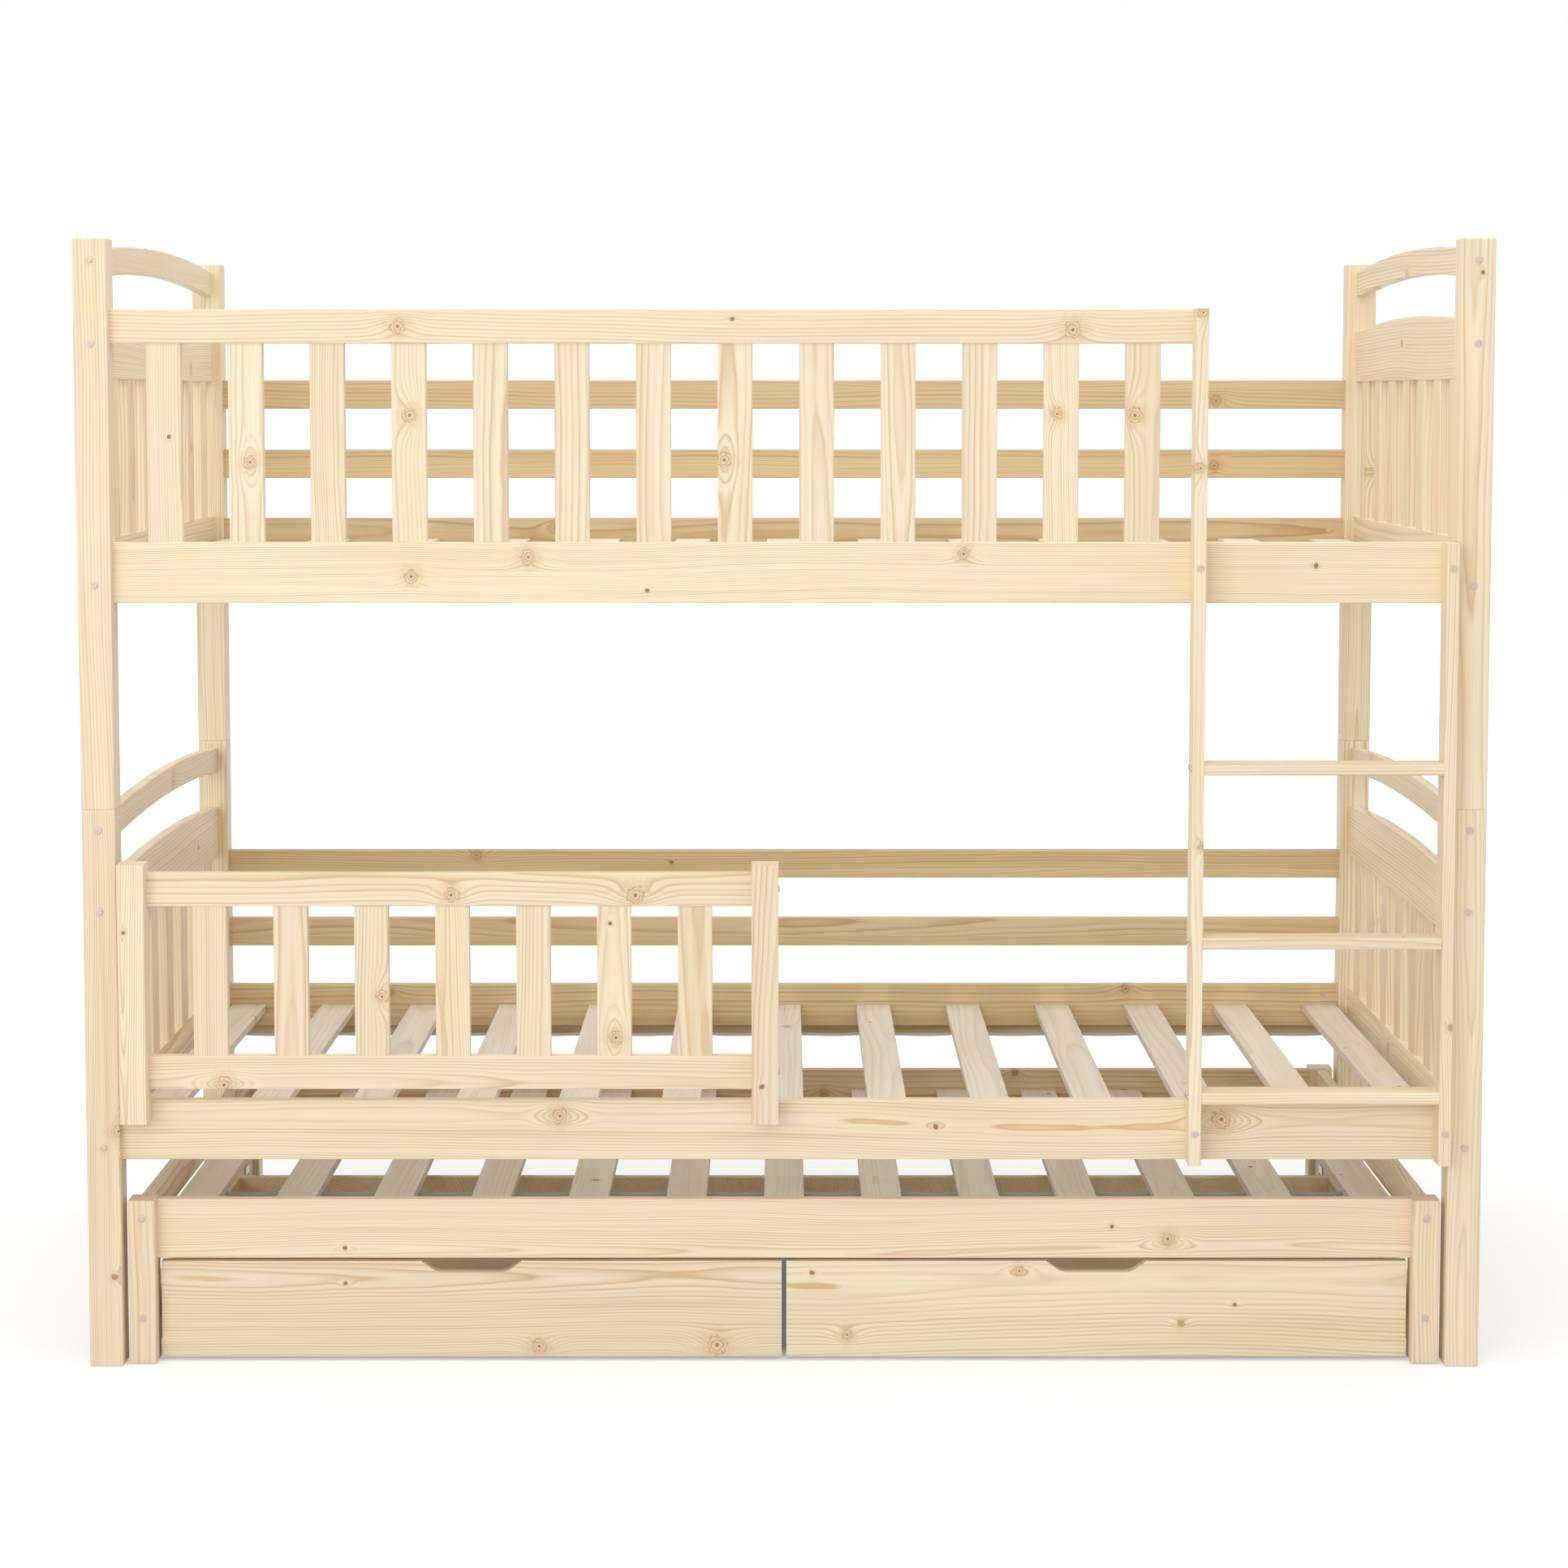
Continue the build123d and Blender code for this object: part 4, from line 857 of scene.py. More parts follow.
@dataclass
class Timber:
    """The boards of the bunks, the roll-out bed and its drawers."""

    nodes: Nodes
    figure: PineFigure
    unit: float = 0.84

    def dress(self) -> None:
        """Give every board its wood."""
        lots = self.posts() + self.rails() + self.ends() + self.guards() + self.ladder()
        for lot in lots + self.decks() + self.roll_out() + self.drawers():
            objects = [self.nodes[name] for name in lot.names]
            lot.finish.dress(self.figure, objects, lot)
            log.info("%s on %s", lot.finish.name, ", ".join(lot.names))

    def posts(self) -> list[Lot]:
        """List the eight posts, stacked in fours."""
        lots = []
        grid = ((-2.03, -0.9195, 0.0), (2.03, 0.935, self.unit))
        knots = (Knot(0.357, -0.992, 0.009), Knot(0.136, -1.001, 0.0045), Knot(1.63, 1.021, 0.0032))
        for side, seed in (("left", 3.0), ("right", 8.0)):
            for row, later, marks in (("front", 0.0, knots), ("back", 1.5, ())):
                names = [f"{unit}_post_{row}_{side}" for unit in ("lower", "upper")]
                lots.append(Lot(names, Grain.UPRIGHT, Boards(*grid, seed + later), marks))
        return lots

    def rails(self) -> list[Lot]:
        """List the bed rails, the top rail of the upper guard and the guard rails at the back."""
        upper = (
            Knot(-0.55, 1.184, 0.0095),
            Knot(-0.377, 1.213, 0.0105),
            Knot(0.265, 1.218, 0.0085),
            Knot(-0.202, 1.164, 0.003),
            Knot(0.785, 1.2, 0.0035),
        )
        lower = (Knot(-0.335, 0.377, 0.0105), Knot(0.654, 0.372, 0.013), Knot(0.227, 0.361, 0.0035))
        top = (Knot(-0.567, 1.552, 0.0105), Knot(0.424, 1.547, 0.0115), Knot(-0.076, 1.563, 0.003))
        lots = [
            Lot([name], Grain.RAIL, Boards((-5.0, -5.4495, low), seed=seed), knots)
            for name, low, seed, knots in (
                ("upper_front_rail", -4.81, 1.0, upper),
                ("lower_front_rail", -4.644, 2.6, lower),
                ("upper_guard_top_rail", -4.448, 4.2, top),
            )
        ]
        grid = Boards((-5.0, -4.5195, 0.0), (10.0, 10.0, 0.122), 5.1)
        knots = (
            Knot(0.762, 1.442, 0.009),
            Knot(0.76, 1.328, 0.009),
            Knot(0.648, 1.453, 0.003),
            Knot(-0.548, 0.634, 0.008),
            Knot(-0.201, 0.621, 0.0032),
        )
        # The back guard rails and the back bed rails take the deeper pine, which is partly painted
        # shade.
        lots.append(Lot(["back_guard_rails"], Grain.RAIL, grid, knots, DEEP_PINE_AND_PAINTED_SHADE))
        grid = Boards((-5.0, -4.5195, -0.061), (10.0, 10.0, self.unit), 6.4)
        knots = (Knot(-0.707, 0.386, 0.008), Knot(0.611, 0.393, 0.0085), Knot(-0.397, 1.222, 0.009))
        back = ["lower_back_rail", "upper_back_rail"]
        return lots + [Lot(back, Grain.RAIL, grid, knots, DEEP_PINE_AND_PAINTED_SHADE)]

    def ends(self) -> list[Lot]:
        """List the boards of the arched end panels."""
        grid = ((-2.03, -5.0, 0.0), (2.03, 10.0, self.unit))
        seeds = {"end_cross_rails": 7.3, "end_head_boards": 9.2, "end_top_bars": 10.6}
        lots = [Lot([name], Grain.PANEL, Boards(*grid, seed)) for name, seed in seeds.items()]
        slats = Boards((-2.03, -1.255, 0.0), (2.03, 0.121, self.unit), 11.9)
        return lots + [Lot(["end_slats"], Grain.END_SLAT, slats)]

    def guards(self) -> list[Lot]:
        """List the slats of the upper guard and the boards of the removable lower guard."""
        upper = (
            Knot(1.353, -0.786, 0.0095),
            Knot(1.422, -0.551, 0.0105),
            Knot(1.356, -0.088, 0.0105),
            Knot(1.424, 0.402, 0.008),
            Knot(1.422, 0.516, 0.0105),
            Knot(1.39, -0.905, 0.003),
        )
        slats = (Knot(0.561, -0.597, 0.0085), Knot(0.499, -0.25, 0.0095), Knot(0.67, -0.258, 0.003))
        rails = (
            Knot(-0.493, 0.713, 0.0105),
            Knot(-0.22, 0.713, 0.0125),
            Knot(-0.833, 0.428, 0.011),
        )
        stiles = (Knot(0.43, -0.033, 0.0035), Knot(0.66, -0.975, 0.003))
        return [
            Lot([name], grain, Boards(start, pitch, seed), knots)
            for name, grain, start, pitch, seed, knots in (
                ("upper_guard_slats", Grain.UPRIGHT, (-2.172, -5.4495, -3.62),
                 (0.12, 10.0, 10.0), 12.7, upper),
                ("lower_guard_slats", Grain.UPRIGHT, (-2.112, -5.4685, -4.42),
                 (0.12, 10.0, 10.0), 13.6, slats),
                ("lower_guard_rails", Grain.RAIL, (-5.0, -5.4685, 0.30925),
                 (10.0, 10.0, 0.2745), 14.9, rails),
                ("lower_guard_stiles", Grain.UPRIGHT, (-1.43275, -5.4795, -4.43),
                 (0.9365, 10.0, 10.0), 15.8, stiles),
            )
        ]

    def ladder(self) -> list[Lot]:
        """List the two stiles and the rungs of the ladder."""
        left = Boards((-4.3915, -5.4825, -4.05), seed=16.4)
        knots = (Knot(1.571, 0.609, 0.0075), Knot(1.345, 0.607, 0.0075), Knot(0.79, 0.615, 0.006))
        right = Boards((-4.0215, -5.4825, -4.22), seed=17.7)
        rungs = Boards((-4.2065, -5.4825, 0.29), (10.0, 10.0, 0.245), 18.3)
        return [
            Lot(["ladder_stile_left"], Grain.UPRIGHT, left, knots),
            Lot(["ladder_stile_right"], Grain.UPRIGHT, right, (Knot(0.52, 0.985, 0.005),)),
            Lot(["ladder_rungs"], Grain.RUNG, rungs),
        ]

    def decks(self) -> list[Lot]:
        """List the slats of the two decks, the ledgers they lie on and the dowels."""
        slats = Boards((-1.03675, -4.9845, -0.059), (0.1595, 10.0, 0.834), 19.5)
        names = ["lower_bed_slats", "upper_bed_slats"]
        ledgers = Boards((-5.0, -0.8725, -0.076), (10.0, 0.888, 0.834), 20.2)
        dowels = Boards((-1.0, -1.0, -1.0), (0.05, 0.05, 0.05), 21.0)
        return [
            Lot(names, Grain.DECK_SLAT, slats, finish=PLANED_PINE),
            # the ledgers under the decks take the deeper pine, which is partly painted shade
            Lot(["slat_ledgers"], Grain.RAIL, ledgers, finish=DEEP_PINE_AND_PAINTED_SHADE),
            Lot(["dowels"], Grain.RUNG, dowels, finish=DOWEL_BEECH),
        ]

    def roll_out(self) -> list[Lot]:
        """List the boards of the roll-out bed."""
        posts = Boards((-1.924, -0.9095, -4.87), (1.924, 0.93, 10.0), 22.4)
        front = Boards((-5.0, -5.4355, -4.798), seed=23.8)
        knots = (Knot(0.577, 0.186, 0.0095), Knot(0.493, 0.205, 0.003), Knot(-0.66, 0.172, 0.003))
        back = Boards((-5.0, -4.5235, -4.798), seed=24.3)
        ends = Boards((-1.924, -5.0, -0.0045), (1.924, 10.0, 0.151), 25.1)
        slats = Boards((-0.98475, -4.98, -4.795), (0.1515, 10.0, 10.0), 26.9)
        ledgers = Boards((-5.0, -0.864, -4.81), (10.0, 0.88, 10.0), 27.4)
        return [
            Lot(["trundle_posts"], Grain.UPRIGHT, posts),
            Lot(["trundle_front_rail"], Grain.RAIL, front, knots),
            # the back rail and the ledgers of the roll-out bed take the deeper pine, which is
            # partly painted shade
            Lot(["trundle_back_rail"], Grain.RAIL, back, finish=DEEP_PINE_AND_PAINTED_SHADE),
            Lot(["trundle_end_rails"], Grain.PANEL, ends),
            Lot(["trundle_slats"], Grain.DECK_SLAT, slats, finish=PLANED_PINE),
            Lot(["trundle_ledgers"], Grain.RAIL, ledgers, finish=DEEP_PINE_AND_PAINTED_SHADE),
        ]

    def drawers(self) -> list[Lot]:
        """List the fronts, boxes and bottoms of the two drawers."""
        left = (Knot(-0.369, 0.021, 0.0105), Knot(-0.101, 0.023, 0.0135), Knot(-0.66, 0.118, 0.003))
        right = (
            Knot(0.354, 0.137, 0.007),
            Knot(0.095, 0.039, 0.008),
            Knot(0.042, 0.134, 0.0033),
            Knot(0.598, 0.056, 0.005),
            Knot(0.679, 0.085, 0.003),
        )
        lots = []
        for side, seed, knots in (("left", 28.8, left), ("right", 29.6, right)):
            front = Boards((-5.0, -5.436, -4.9215), seed=seed)
            walls = Boards((-2.0, -5.155, -4.92), (0.5, 10.0, 10.0), seed + 0.4)
            bottom = Boards((-5.0, -5.0, -4.966), seed=seed + 0.7)
            lots += [
                Lot([f"drawer_{side}_front"], Grain.RAIL, front, knots),
                Lot([f"drawer_{side}_box"], Grain.PANEL, walls, rail_behind=0.1195),
                Lot([f"drawer_{side}_bottom"], Grain.RUNG, bottom, finish=DRAWER_PLY),
            ]
        return lots


@dataclass
class Hardware:
    """The metal and plastic nodes."""

    nodes: Nodes

    def dress(self) -> None:
        """Give the fasteners, castors, wheels and caps their finishes."""
        plain = {
            COATED_BOLT: (
                "frame_bolts",
                "ladder_and_guard_bolts",
                "nuts_and_inserts",
                "trundle_bolts_and_nuts",
            ),
            ZINC_STEEL: ("wood_screws", "bunk_pins", "trundle_castor_brackets"),
        }
        for finish, names in plain.items():
            material = finish.material()
            for name in names:
                wear(self.nodes[name], material)
        black, nylon = BLACK_PLASTIC.material(), WHEEL_NYLON.material()
        for name, node in self.nodes.items():
            if name.endswith(("_caps", "_castor_housings")):
                wear(node, black)
            if name.endswith("_wheels"):
                wear(node, nylon)
        webbing = WebbingWeave().material()
        for name in ("slat_tapes", "trundle_tapes"):
            wear(self.nodes[name], webbing)
        log.info("metal, plastic and webbing dressed")


class Recess(Enum):
    """What a driver goes into: a six-sided socket, a cross or a slot."""

    SOCKET = "socket"
    CROSS = "cross"
    SLOT = "slot"


@dataclass(frozen=True)
class Spot:
    """Where a head sits and which way it faces."""

    place: Place
    facing: Place


@dataclass(frozen=True)
class HeadShape:
    """The seen end of a fastener: a disc with an eased rim and a recess for a driver."""

    radius: float
    height: float
    rim: float
    recess: Recess
    reach: float
    depth: float

    def cutters(self) -> list[Piece]:
        """Make the shapes that cut the recess.

        Returns:
            The cutters.
        """
        top = (0.0, 0.0, self.height)
        if self.recess is Recess.SOCKET:
            bpy.ops.mesh.primitive_cylinder_add(
                vertices=6, radius=self.reach, depth=2 * self.depth, location=top
            )
            return [bpy.context.object]
        made = []
        turns = (0.0, math.pi / 2) if self.recess is Recess.CROSS else (0.0,)
        for turn in turns:
            bpy.ops.mesh.primitive_cube_add(size=1.0, location=top, rotation=(0.0, 0.0, turn))
            bar = bpy.context.object
            bar.scale = (2 * self.reach, 0.36 * self.reach, 2 * self.depth)
            made.append(bar)
        return made

    def model(self) -> Piece:
        """Model the head facing up, its foot at the origin.

        Returns:
            The head.
        """
        bpy.ops.object.select_all(action="DESELECT")
        middle = (0.0, 0.0, self.height / 2)
        bpy.ops.mesh.primitive_cylinder_add(
            vertices=28, radius=self.radius, depth=self.height, location=middle
        )
        head = bpy.context.object
        bpy.ops.object.transform_apply(location=True, rotation=True, scale=True)
        bpy.ops.object.mode_set(mode="EDIT")
        bpy.ops.mesh.select_all(action="DESELECT")
        form = bmesh.from_edit_mesh(head.data)
        for edge in form.edges:
            edge.select = all(abs(corner.co.z - self.height) < 1e-6 for corner in edge.verts)
        bmesh.update_edit_mesh(head.data)
        bpy.ops.mesh.bevel(offset=self.rim, segments=3, affect="EDGES")
        bpy.ops.object.mode_set(mode="OBJECT")
        for cutter in self.cutters():
            cut = head.modifiers.new("recess", "BOOLEAN")
            cut.operation = "DIFFERENCE"
            cut.solver = "EXACT"
            cut.object = cutter
            bpy.context.view_layer.objects.active = head
            bpy.ops.object.modifier_apply(modifier=cut.name)
            bpy.data.objects.remove(cutter)
        choose(head)
        bpy.ops.object.shade_smooth_by_angle(angle=SOFT_EDGE)
        return head


def choose(*pieces: Piece) -> None:
    """Select these pieces alone and make the first one active."""
    bpy.ops.object.select_all(action="DESELECT")
    for piece in pieces:
        piece.select_set(True)
    bpy.context.view_layer.objects.active = pieces[0]


def repeat(model: Piece, places: Sequence[Matrix], name: str, body: str) -> Piece:
    """Copy a modelled piece to its places, join the copies and let them ride on a body.

    Args:
        model: The piece, modelled at the origin; it is used up.
        places: Where the copies go.
        name: The joined piece's name.
        body: The body it moves with.

    Returns:
        The joined piece.
    """
    copies = []
    for place in places:
        copy = model.copy()
        copy.data = model.data.copy()
        copy.data.transform(place)
        bpy.context.scene.collection.objects.link(copy)
        copies.append(copy)
    bpy.data.objects.remove(model)
    choose(*copies)
    if len(copies) > 1:
        bpy.ops.object.join()
    piece = copies[0]
    piece.name = name
    piece.data.name = name
    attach(piece, body)
    log.info("%s: %d modelled and copied, on %s", name, len(places), body)
    return piece


def turned_to(spot: Spot) -> Matrix:
    """The matrix that puts a head modelled facing up on its spot."""
    turn = Vector((0.0, 0.0, 1.0)).rotation_difference(Vector(spot.facing))
    return Matrix.Translation(spot.place) @ turn.to_matrix().to_4x4()


LEFT: Place = (-1.0, 0.0, 0.0)
RIGHT: Place = (1.0, 0.0, 0.0)
FRONT: Place = (0.0, -1.0, 0.0)
BACK: Place = (0.0, 1.0, 0.0)
Row = tuple[float, ...]


def spots(xs: Row, ys: Row, heights: Row, facing: Place) -> list[Spot]:
    """Put a spot at every crossing of three rows of measures.

    Args:
        xs: Where they are along the bed.
        ys: Where they are across it.
        heights: Their heights.
        facing: Which way all of them face.

    Returns:
        The spots.
    """
    return [Spot((x, y, height), facing) for x in xs for y in ys for height in heights]


def ends(reach: float, ys: Row, heights: Row) -> list[Spot]:
    """Put spots at both ends of the bed, facing outward.

    Args:
        reach: How far they are from the middle of the bed.
        ys: Where they are across it.
        heights: Their heights.

    Returns:
        The spots.
    """
    return spots((-reach,), ys, heights, LEFT) + spots((reach,), ys, heights, RIGHT)


@dataclass
class FastenerHeads:
    """The seen ends of the bolts, barrel nuts and screws, over the plain ones of the solids."""

    bolt: HeadShape = HeadShape(0.00515, 0.0019, 0.0004, Recess.SOCKET, 0.0025, 0.00032)
    nut: HeadShape = HeadShape(0.005, 0.0004, 0.00015, Recess.SLOT, 0.0036, 0.0003)
    pan: HeadShape = HeadShape(0.0041, 0.0019, 0.0006, Recess.CROSS, 0.0021, 0.0003)
    flush: HeadShape = HeadShape(0.004, 0.0004, 0.00015, Recess.CROSS, 0.0022, 0.0003)
    posts: Row = (-1.015, 1.015)
    panel_heights: Row = (0.332, 0.687, 0.809, 1.172, 1.527, 1.649)
    rail_heights: Row = (0.381, 1.215)
    stile_heights: Row = (0.721, 0.4465)
    roll_posts: Row = (-0.962, 0.962)
    roll_heights: Row = (0.071, 0.222)
    roll_rail: Row = (0.188,)

    def build(self) -> None:
        """Model every kind of head and copy it to its places."""
        coated, zinc = COATED_BOLT.material(), ZINC_STEEL.material()
        for name, shape, found, body, slot, material in (
            ("bunk_bolt_heads", self.bolt, self.bunk_bolts(), "bed_frame", "bolt_finish", coated),
            ("bunk_nut_ends", self.nut, self.bunk_nuts(), "bed_frame", "bolt_finish", coated),
            ("roll_out_bolt_heads", self.bolt, self.roll_bolts(), "trundle", "bolt_finish", coated),
            ("roll_out_nut_ends", self.nut, self.roll_nuts(), "trundle", "bolt_finish", coated),
            ("rung_screw_heads", self.pan, self.rung_screws(), "bed_frame", "zinc_steel", zinc),
            ("flush_screw_heads", self.flush, self.flush_screws(), "bed_frame", "zinc_steel", zinc),
        ):
            places = [turned_to(spot) for spot in found]
            wear(repeat(shape.model(), places, name, body), material)

    def bunk_bolts(self) -> list[Spot]:
        """Find the bolt heads of the bunks, the ladder and the lower guard."""
        return (
            spots(self.posts, (-0.4745,), self.panel_heights, FRONT)
            + spots(self.posts, (0.5055,), self.panel_heights, BACK)
            + ends(1.037, (-0.4495, 0.4805), self.rail_heights)
            + spots((0.6085, 0.9785), (-0.5055,), (0.36, 1.199), FRONT)
            + spots((-0.9845,), (-0.4685,), self.stile_heights, LEFT)
            + spots((-0.008,), (-0.4685,), self.stile_heights, RIGHT)
        )

    def bunk_nuts(self) -> list[Spot]:
        """Find the nut ends on the end panels and on the inner faces of the bed rails."""
        rail_ends = (-0.964, 0.964)
        return (
            ends(1.024, (-0.3995, 0.4305), self.panel_heights)
            + spots(rail_ends, (-0.4395,), self.rail_heights, BACK)
            + spots(rail_ends, (0.4705,), self.rail_heights, FRONT)
        )

    def roll_bolts(self) -> list[Spot]:
        """Find the bolt heads of the roll-out bed."""
        return (
            spots(self.roll_posts, (-0.4645,), self.roll_heights, FRONT)
            + spots(self.roll_posts, (0.5055,), self.roll_heights, BACK)
            + ends(0.979, (-0.4355, 0.4765), self.roll_rail)
        )

    def roll_nuts(self) -> list[Spot]:
        """Find the nut ends of the roll-out bed."""
        rail_ends = (-0.916, 0.916)
        return (
            ends(0.971, (-0.3945, 0.4355), self.roll_heights)
            + spots(rail_ends, (-0.4265,), self.roll_rail, BACK)
            + spots(rail_ends, (0.4675,), self.roll_rail, FRONT)
        )

    def rung_screws(self) -> list[Spot]:
        """Find the round screw heads on the outer sides of the ladder."""
        ys, heights = (-0.494, -0.471), (0.413, 0.6445, 0.903)
        return spots((0.5995,), ys, heights, LEFT) + spots((0.9875,), ys, heights, RIGHT)

    def flush_screws(self) -> list[Spot]:
        """Find the sunk screw heads at the post seams and behind the guards."""
        ys, seam, behind = (-0.452, 0.483), (0.825, 0.855), (-0.4395,)
        return (
            spots((-0.99,), ys, seam, RIGHT)
            + spots((0.99,), ys, seam, LEFT)
            + spots((-0.9765, -0.9525, -0.04, -0.016), behind, (0.387,), BACK)
            + spots((0.6085,), behind, (1.5395, 1.5645), BACK)
        )


@dataclass
class WebbingTapes:
    """The webbing tapes that keep a deck's slats apart, stapled to every slat."""

    name: str
    body: str
    node: str
    half: float
    first_slat: float
    slat_pitch: float
    rows: Row
    undersides: Row
    slats: int = 13
    width: float = 0.02
    thick: float = 0.0009
    slat_half: float = 0.03

    def strip(self) -> Piece:
        """Model one tape that sags a little between the slats.

        Returns:
            The tape, its upper face at the origin's height.
        """
        bpy.ops.object.select_all(action="DESELECT")
        bpy.ops.mesh.primitive_grid_add(x_subdivisions=160, y_subdivisions=4, size=1.0)
        tape = bpy.context.object
        bpy.ops.object.mode_set(mode="EDIT")
        bpy.ops.mesh.select_all(action="SELECT")
        bpy.ops.transform.resize(value=(2 * self.half, self.width, 1.0))
        for reach, drop in ((0.0, 0.0004), (0.01, 0.0004), (0.02, 0.0004), (0.032, 0.0003)):
            form = bmesh.from_edit_mesh(tape.data)
            for corner in form.verts:
                steps = (corner.co.x - self.first_slat) / self.slat_pitch
                away = abs(steps - round(steps)) * self.slat_pitch
                inside = abs(corner.co.x) < abs(self.first_slat)
                corner.select = inside and away > self.slat_half + reach
            form.select_flush(True)
            form.select_flush(False)
            bmesh.update_edit_mesh(tape.data)
            bpy.ops.transform.translate(value=(0.0, 0.0, -drop))
        bpy.ops.object.mode_set(mode="OBJECT")
        choose(tape)
        body = tape.modifiers.new("body", "SOLIDIFY")
        body.thickness = self.thick
        body.offset = -1.0
        bpy.ops.object.modifier_apply(modifier=body.name)
        selvedge = tape.modifiers.new("selvedge", "BEVEL")
        selvedge.width = 0.0002
        selvedge.segments = 2
        bpy.ops.object.modifier_apply(modifier=selvedge.name)
        bpy.ops.object.shade_smooth_by_angle(angle=SOFT_EDGE)
        return tape

    def staple(self) -> Piece:
        """Model one staple's crown, across the tape, under the origin.

        Returns:
            The staple.
        """
        bpy.ops.object.select_all(action="DESELECT")
        bpy.ops.mesh.primitive_cube_add(size=1.0)
        crown = bpy.context.object
        bpy.ops.object.mode_set(mode="EDIT")
        bpy.ops.mesh.select_all(action="SELECT")
        bpy.ops.transform.resize(value=(0.0012, 0.0105, 0.0007))
        bpy.ops.mesh.bevel(offset=0.00025, segments=2, affect="EDGES")
        bpy.ops.mesh.select_all(action="SELECT")
        bpy.ops.transform.translate(value=(0.0, 0.0, -0.0003))
        bpy.ops.object.mode_set(mode="OBJECT")
        choose(crown)
        bpy.ops.object.shade_smooth_by_angle(angle=SOFT_EDGE)
        return crown

    def build(self) -> None:
        """Model the tape and the staple and copy them to their places."""
        lines = [(y, z) for y in self.rows for z in self.undersides]
        places = [Matrix.Translation((0.0, y, z - 0.0001)) for y, z in lines]
        tapes = repeat(self.strip(), places, f"{self.name}_webbing", self.body)
        wear(tapes, WebbingWeave().material())
        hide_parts(self.node)
        places = [
            Matrix.Translation((self.first_slat + n * self.slat_pitch, y, z - self.thick - 0.0001))
            for y, z in lines
            for n in range(self.slats)
        ]
        staples = repeat(self.staple(), places, f"{self.name}_staples", self.body)
        wear(staples, ZINC_STEEL.material())


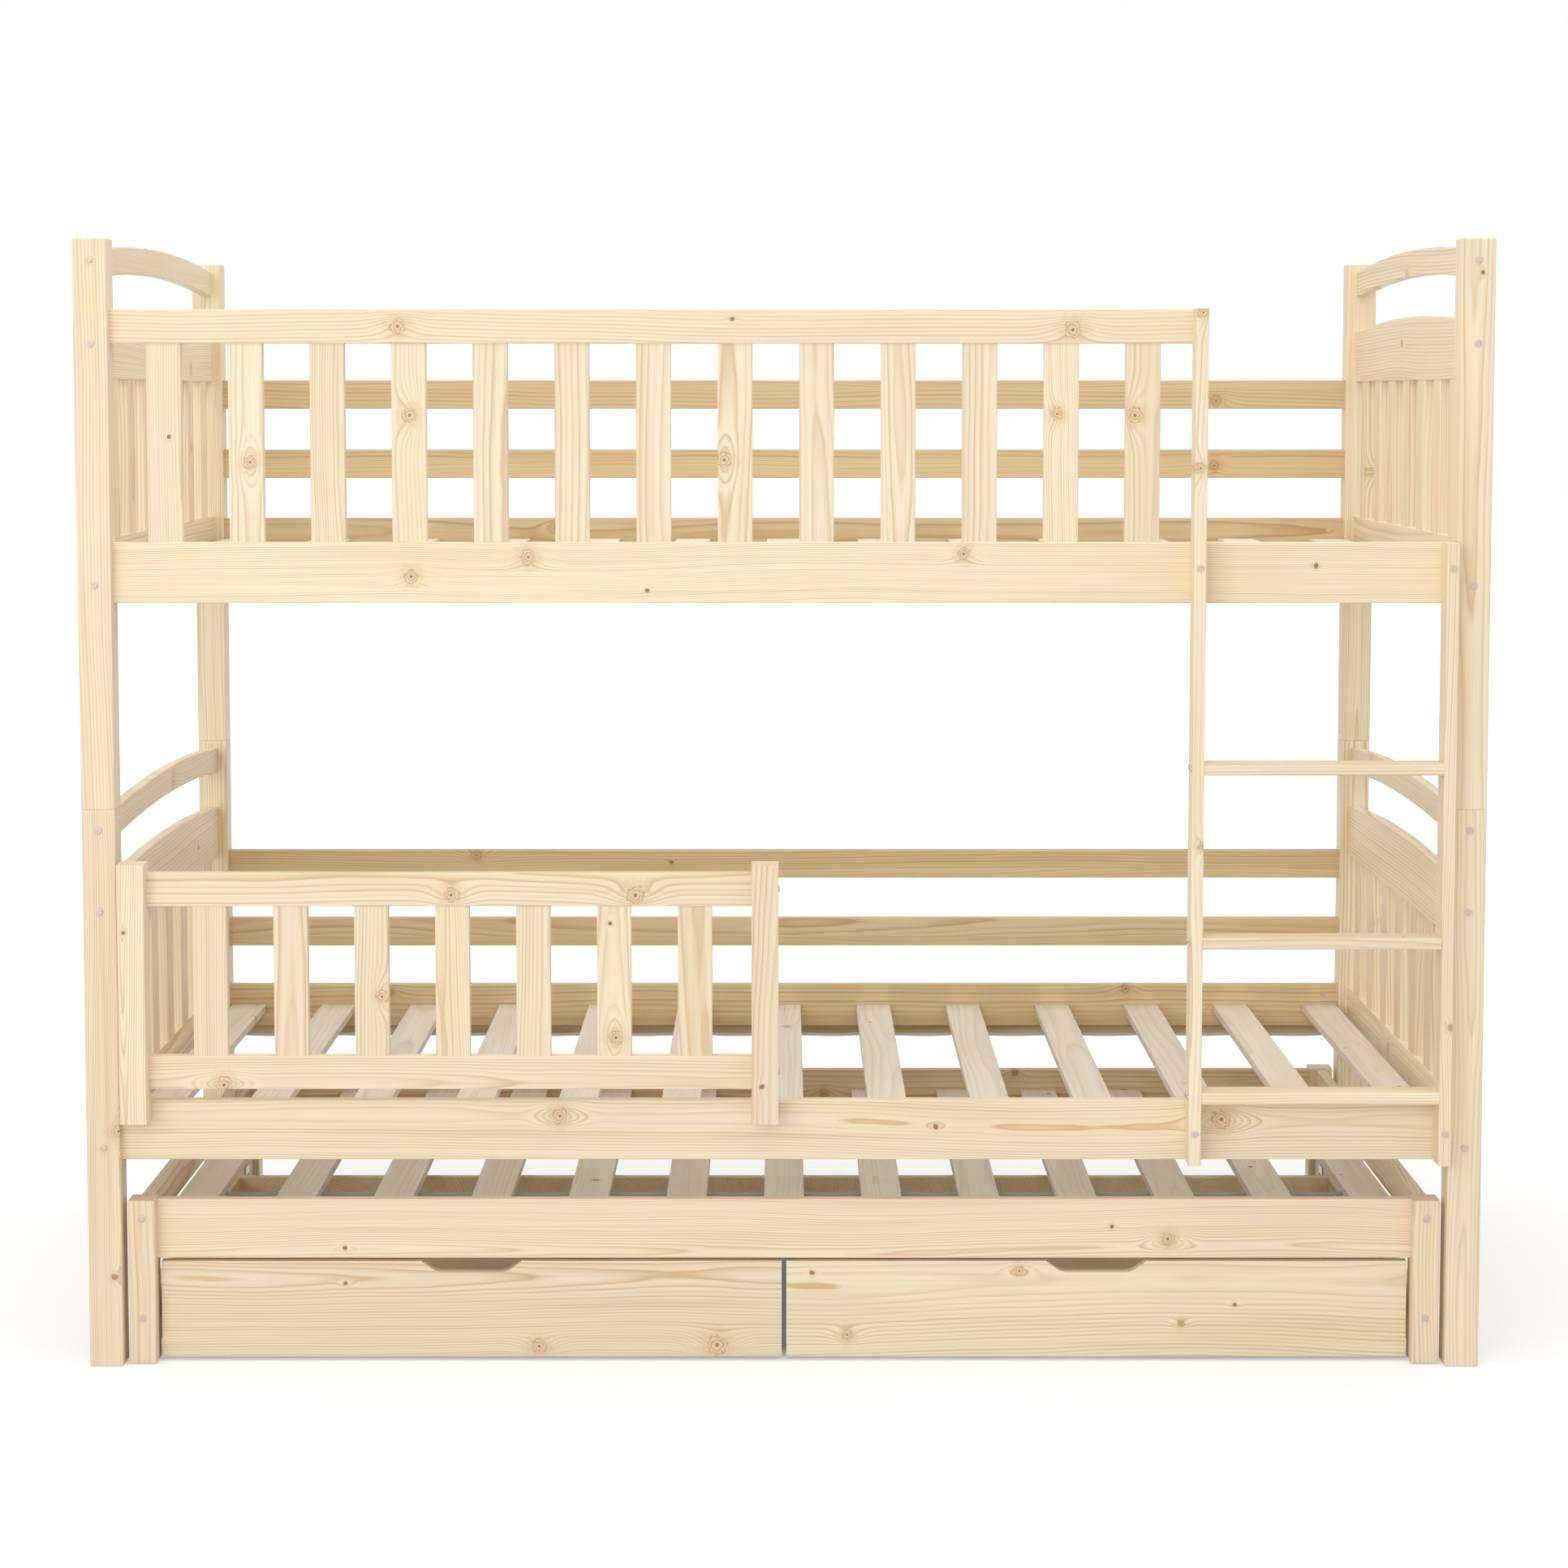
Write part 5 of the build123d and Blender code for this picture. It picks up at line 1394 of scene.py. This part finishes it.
@dataclass
class Studio:
    """A white studio: floor, soft lights and the photograph's camera."""

    eye: Place = (0.0, -5.0995, 1.4486)
    lens: float = 72.3
    tilt: float = 4.265
    shift: float = -0.097
    front_watts: float = 143.088
    top_watts: float = 88.888
    fill: float = 0.82384
    near_glow: float = 0.42
    # share of the glow left inside the bed's footprint: painted shade
    painted_shade_glow: float = 0.3
    floor_half: float = 30.0

    def build(self) -> None:
        """Make the camera, the lights, the floor and the world."""
        self.make_camera()
        wide = (6.0, 4.0)
        self.soft_box("front_box", (-2.5, -6.2, 2.4), (0.0, 0.0, 0.8), wide, self.front_watts)
        self.soft_box("top_box", (0.0, -0.6, 5.0), (0.0, 0.0, 0.0), wide, self.top_watts)
        self.make_floor()
        self.make_world()

    def make_camera(self) -> None:
        """Make the camera that stands where the photograph was taken."""
        data = bpy.data.cameras.new("photograph")
        data.lens = self.lens
        data.sensor_width = 36.0
        data.shift_y = self.shift
        data.clip_end = 200.0
        camera = bpy.data.objects.new("photograph", data)
        camera.location = self.eye
        camera.rotation_euler = (math.radians(90.0 - self.tilt), 0.0, 0.0)
        bpy.context.scene.collection.objects.link(camera)
        bpy.context.scene.camera = camera

    def soft_box(
        self, name: str, place: Place, target: Place, size: tuple[float, float], power: float
    ) -> None:
        """Hang a soft box.

        Args:
            name: Its name.
            place: Where it hangs.
            target: What it is turned to.
            size: Its width and height.
            power: Its power in watts.
        """
        data = bpy.data.lights.new(name, "AREA")
        data.shape = "RECTANGLE"
        data.size, data.size_y = size
        data.energy = power
        light = bpy.data.objects.new(name, data)
        light.location = place
        aim = Vector(target) - Vector(place)
        light.rotation_euler = aim.to_track_quat("-Z", "Y").to_euler()
        bpy.context.scene.collection.objects.link(light)

    def outside_painted_shade(self, sheet: NodeSheet, place: Socket) -> Socket:
        """Find the floor that the bed does not cover, outside the painted shade under the bed.

        Args:
            sheet: The sheet to add nodes to.
            place: The places on the floor.

        Returns:
            One in the open, zero under the bed.
        """
        along, across, _ = sheet.split(place)
        beside = sheet.smooth(sheet.maths("ABSOLUTE", along), 0.9, 1.0)
        before = sheet.smooth(sheet.maths("ABSOLUTE", across), 0.36, 0.46)
        return sheet.maths("MAXIMUM", beside, before)

    def make_floor(self) -> None:
        """Lay a white floor that keeps the bed's shadow and has painted shade under the bed.

        What it adds to its own light is least under the bed and full far away from it. Inside the
        bed's footprint the floor is also darker and glows less: painted shade.
        """
        size = 2 * self.floor_half
        bpy.ops.mesh.primitive_grid_add(x_subdivisions=8, y_subdivisions=8, size=size)
        floor = bpy.context.object
        floor.name = "studio_floor"
        floor.location = (0.0, 0.0, -0.0005)
        bpy.ops.object.transform_apply(location=True)
        material, sheet, shader, place = new_material("studio_floor")
        sheet.tree.nodes.remove(shader)
        outside_painted_shade = self.outside_painted_shade(sheet, place)
        diffuse = sheet.add("ShaderNodeBsdfDiffuse")
        # the floor inside the bed's footprint is darker than in the open: painted shade
        under, open_air = (0.32, 0.32, 0.32, 1.0), (0.6, 0.6, 0.6, 1.0)
        sheet.feed(diffuse.inputs["Color"], sheet.mix(outside_painted_shade, under, open_air))
        away = sheet.vector("LENGTH", place)
        glow = sheet.smooth(away, 1.2, 4.5, self.near_glow, 1.0)
        # less glow inside the bed's footprint: painted shade
        shade = sheet.smooth(outside_painted_shade, 0.0, 1.0, self.painted_shade_glow, 1.0)
        glow = sheet.times(glow, shade)
        emission = sheet.add("ShaderNodeEmission")
        sheet.feed(emission.inputs["Strength"], sheet.times(sheet.seen(), glow))
        both = sheet.add("ShaderNodeAddShader")
        sheet.feed(both.inputs[0], diffuse.outputs[0])
        sheet.feed(both.inputs[1], emission.outputs[0])
        output = sheet.tree.nodes["Material Output"]
        sheet.feed(output.inputs["Surface"], both.outputs[0])
        floor.data.materials.append(material)

    def make_world(self) -> None:
        """Surround the studio with plain white light."""
        world = bpy.data.worlds.new("studio")
        bpy.context.scene.world = world
        world.use_nodes = True
        sheet = NodeSheet(world.node_tree)
        sheet.tree.nodes.clear()
        back = sheet.add("ShaderNodeBackground")
        back.inputs["Color"].default_value = (1.0, 1.0, 1.0, 1.0)
        strength = sheet.smooth(sheet.seen(), 0.0, 1.0, self.fill, 1.0)
        sheet.feed(back.inputs["Strength"], strength)
        output = sheet.add("ShaderNodeOutputWorld")
        sheet.feed(output.inputs["Surface"], back.outputs[0])
        bpy.context.scene.view_settings.view_transform = "Standard"


def main() -> None:
    """Load the frame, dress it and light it."""
    logging.basicConfig(level=logging.INFO, format="%(message)s")
    for thing in list(bpy.data.objects):
        bpy.data.objects.remove(thing)
    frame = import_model()
    bpy.ops.object.select_all(action="DESELECT")
    nodes, figure = frame["nodes"], PineFigure()
    Timber(nodes, figure).dress()
    Hardware(nodes).dress()
    FastenerHeads().build()
    WebbingTapes(
        name="bunk",
        body="bed_frame",
        node="slat_tapes",
        half=0.965,
        first_slat=-0.957,
        slat_pitch=0.1595,
        rows=(-0.2495, 0.2805),
        undersides=(0.351, 1.185),
    ).build()
    WebbingTapes(
        name="roll_out",
        body="trundle",
        node="trundle_tapes",
        half=0.917,
        first_slat=-0.909,
        slat_pitch=0.1515,
        rows=(-0.2165, 0.2575),
        undersides=(0.198,),
    ).build()
    Studio().build()


if __name__ == "__main__":
    main()
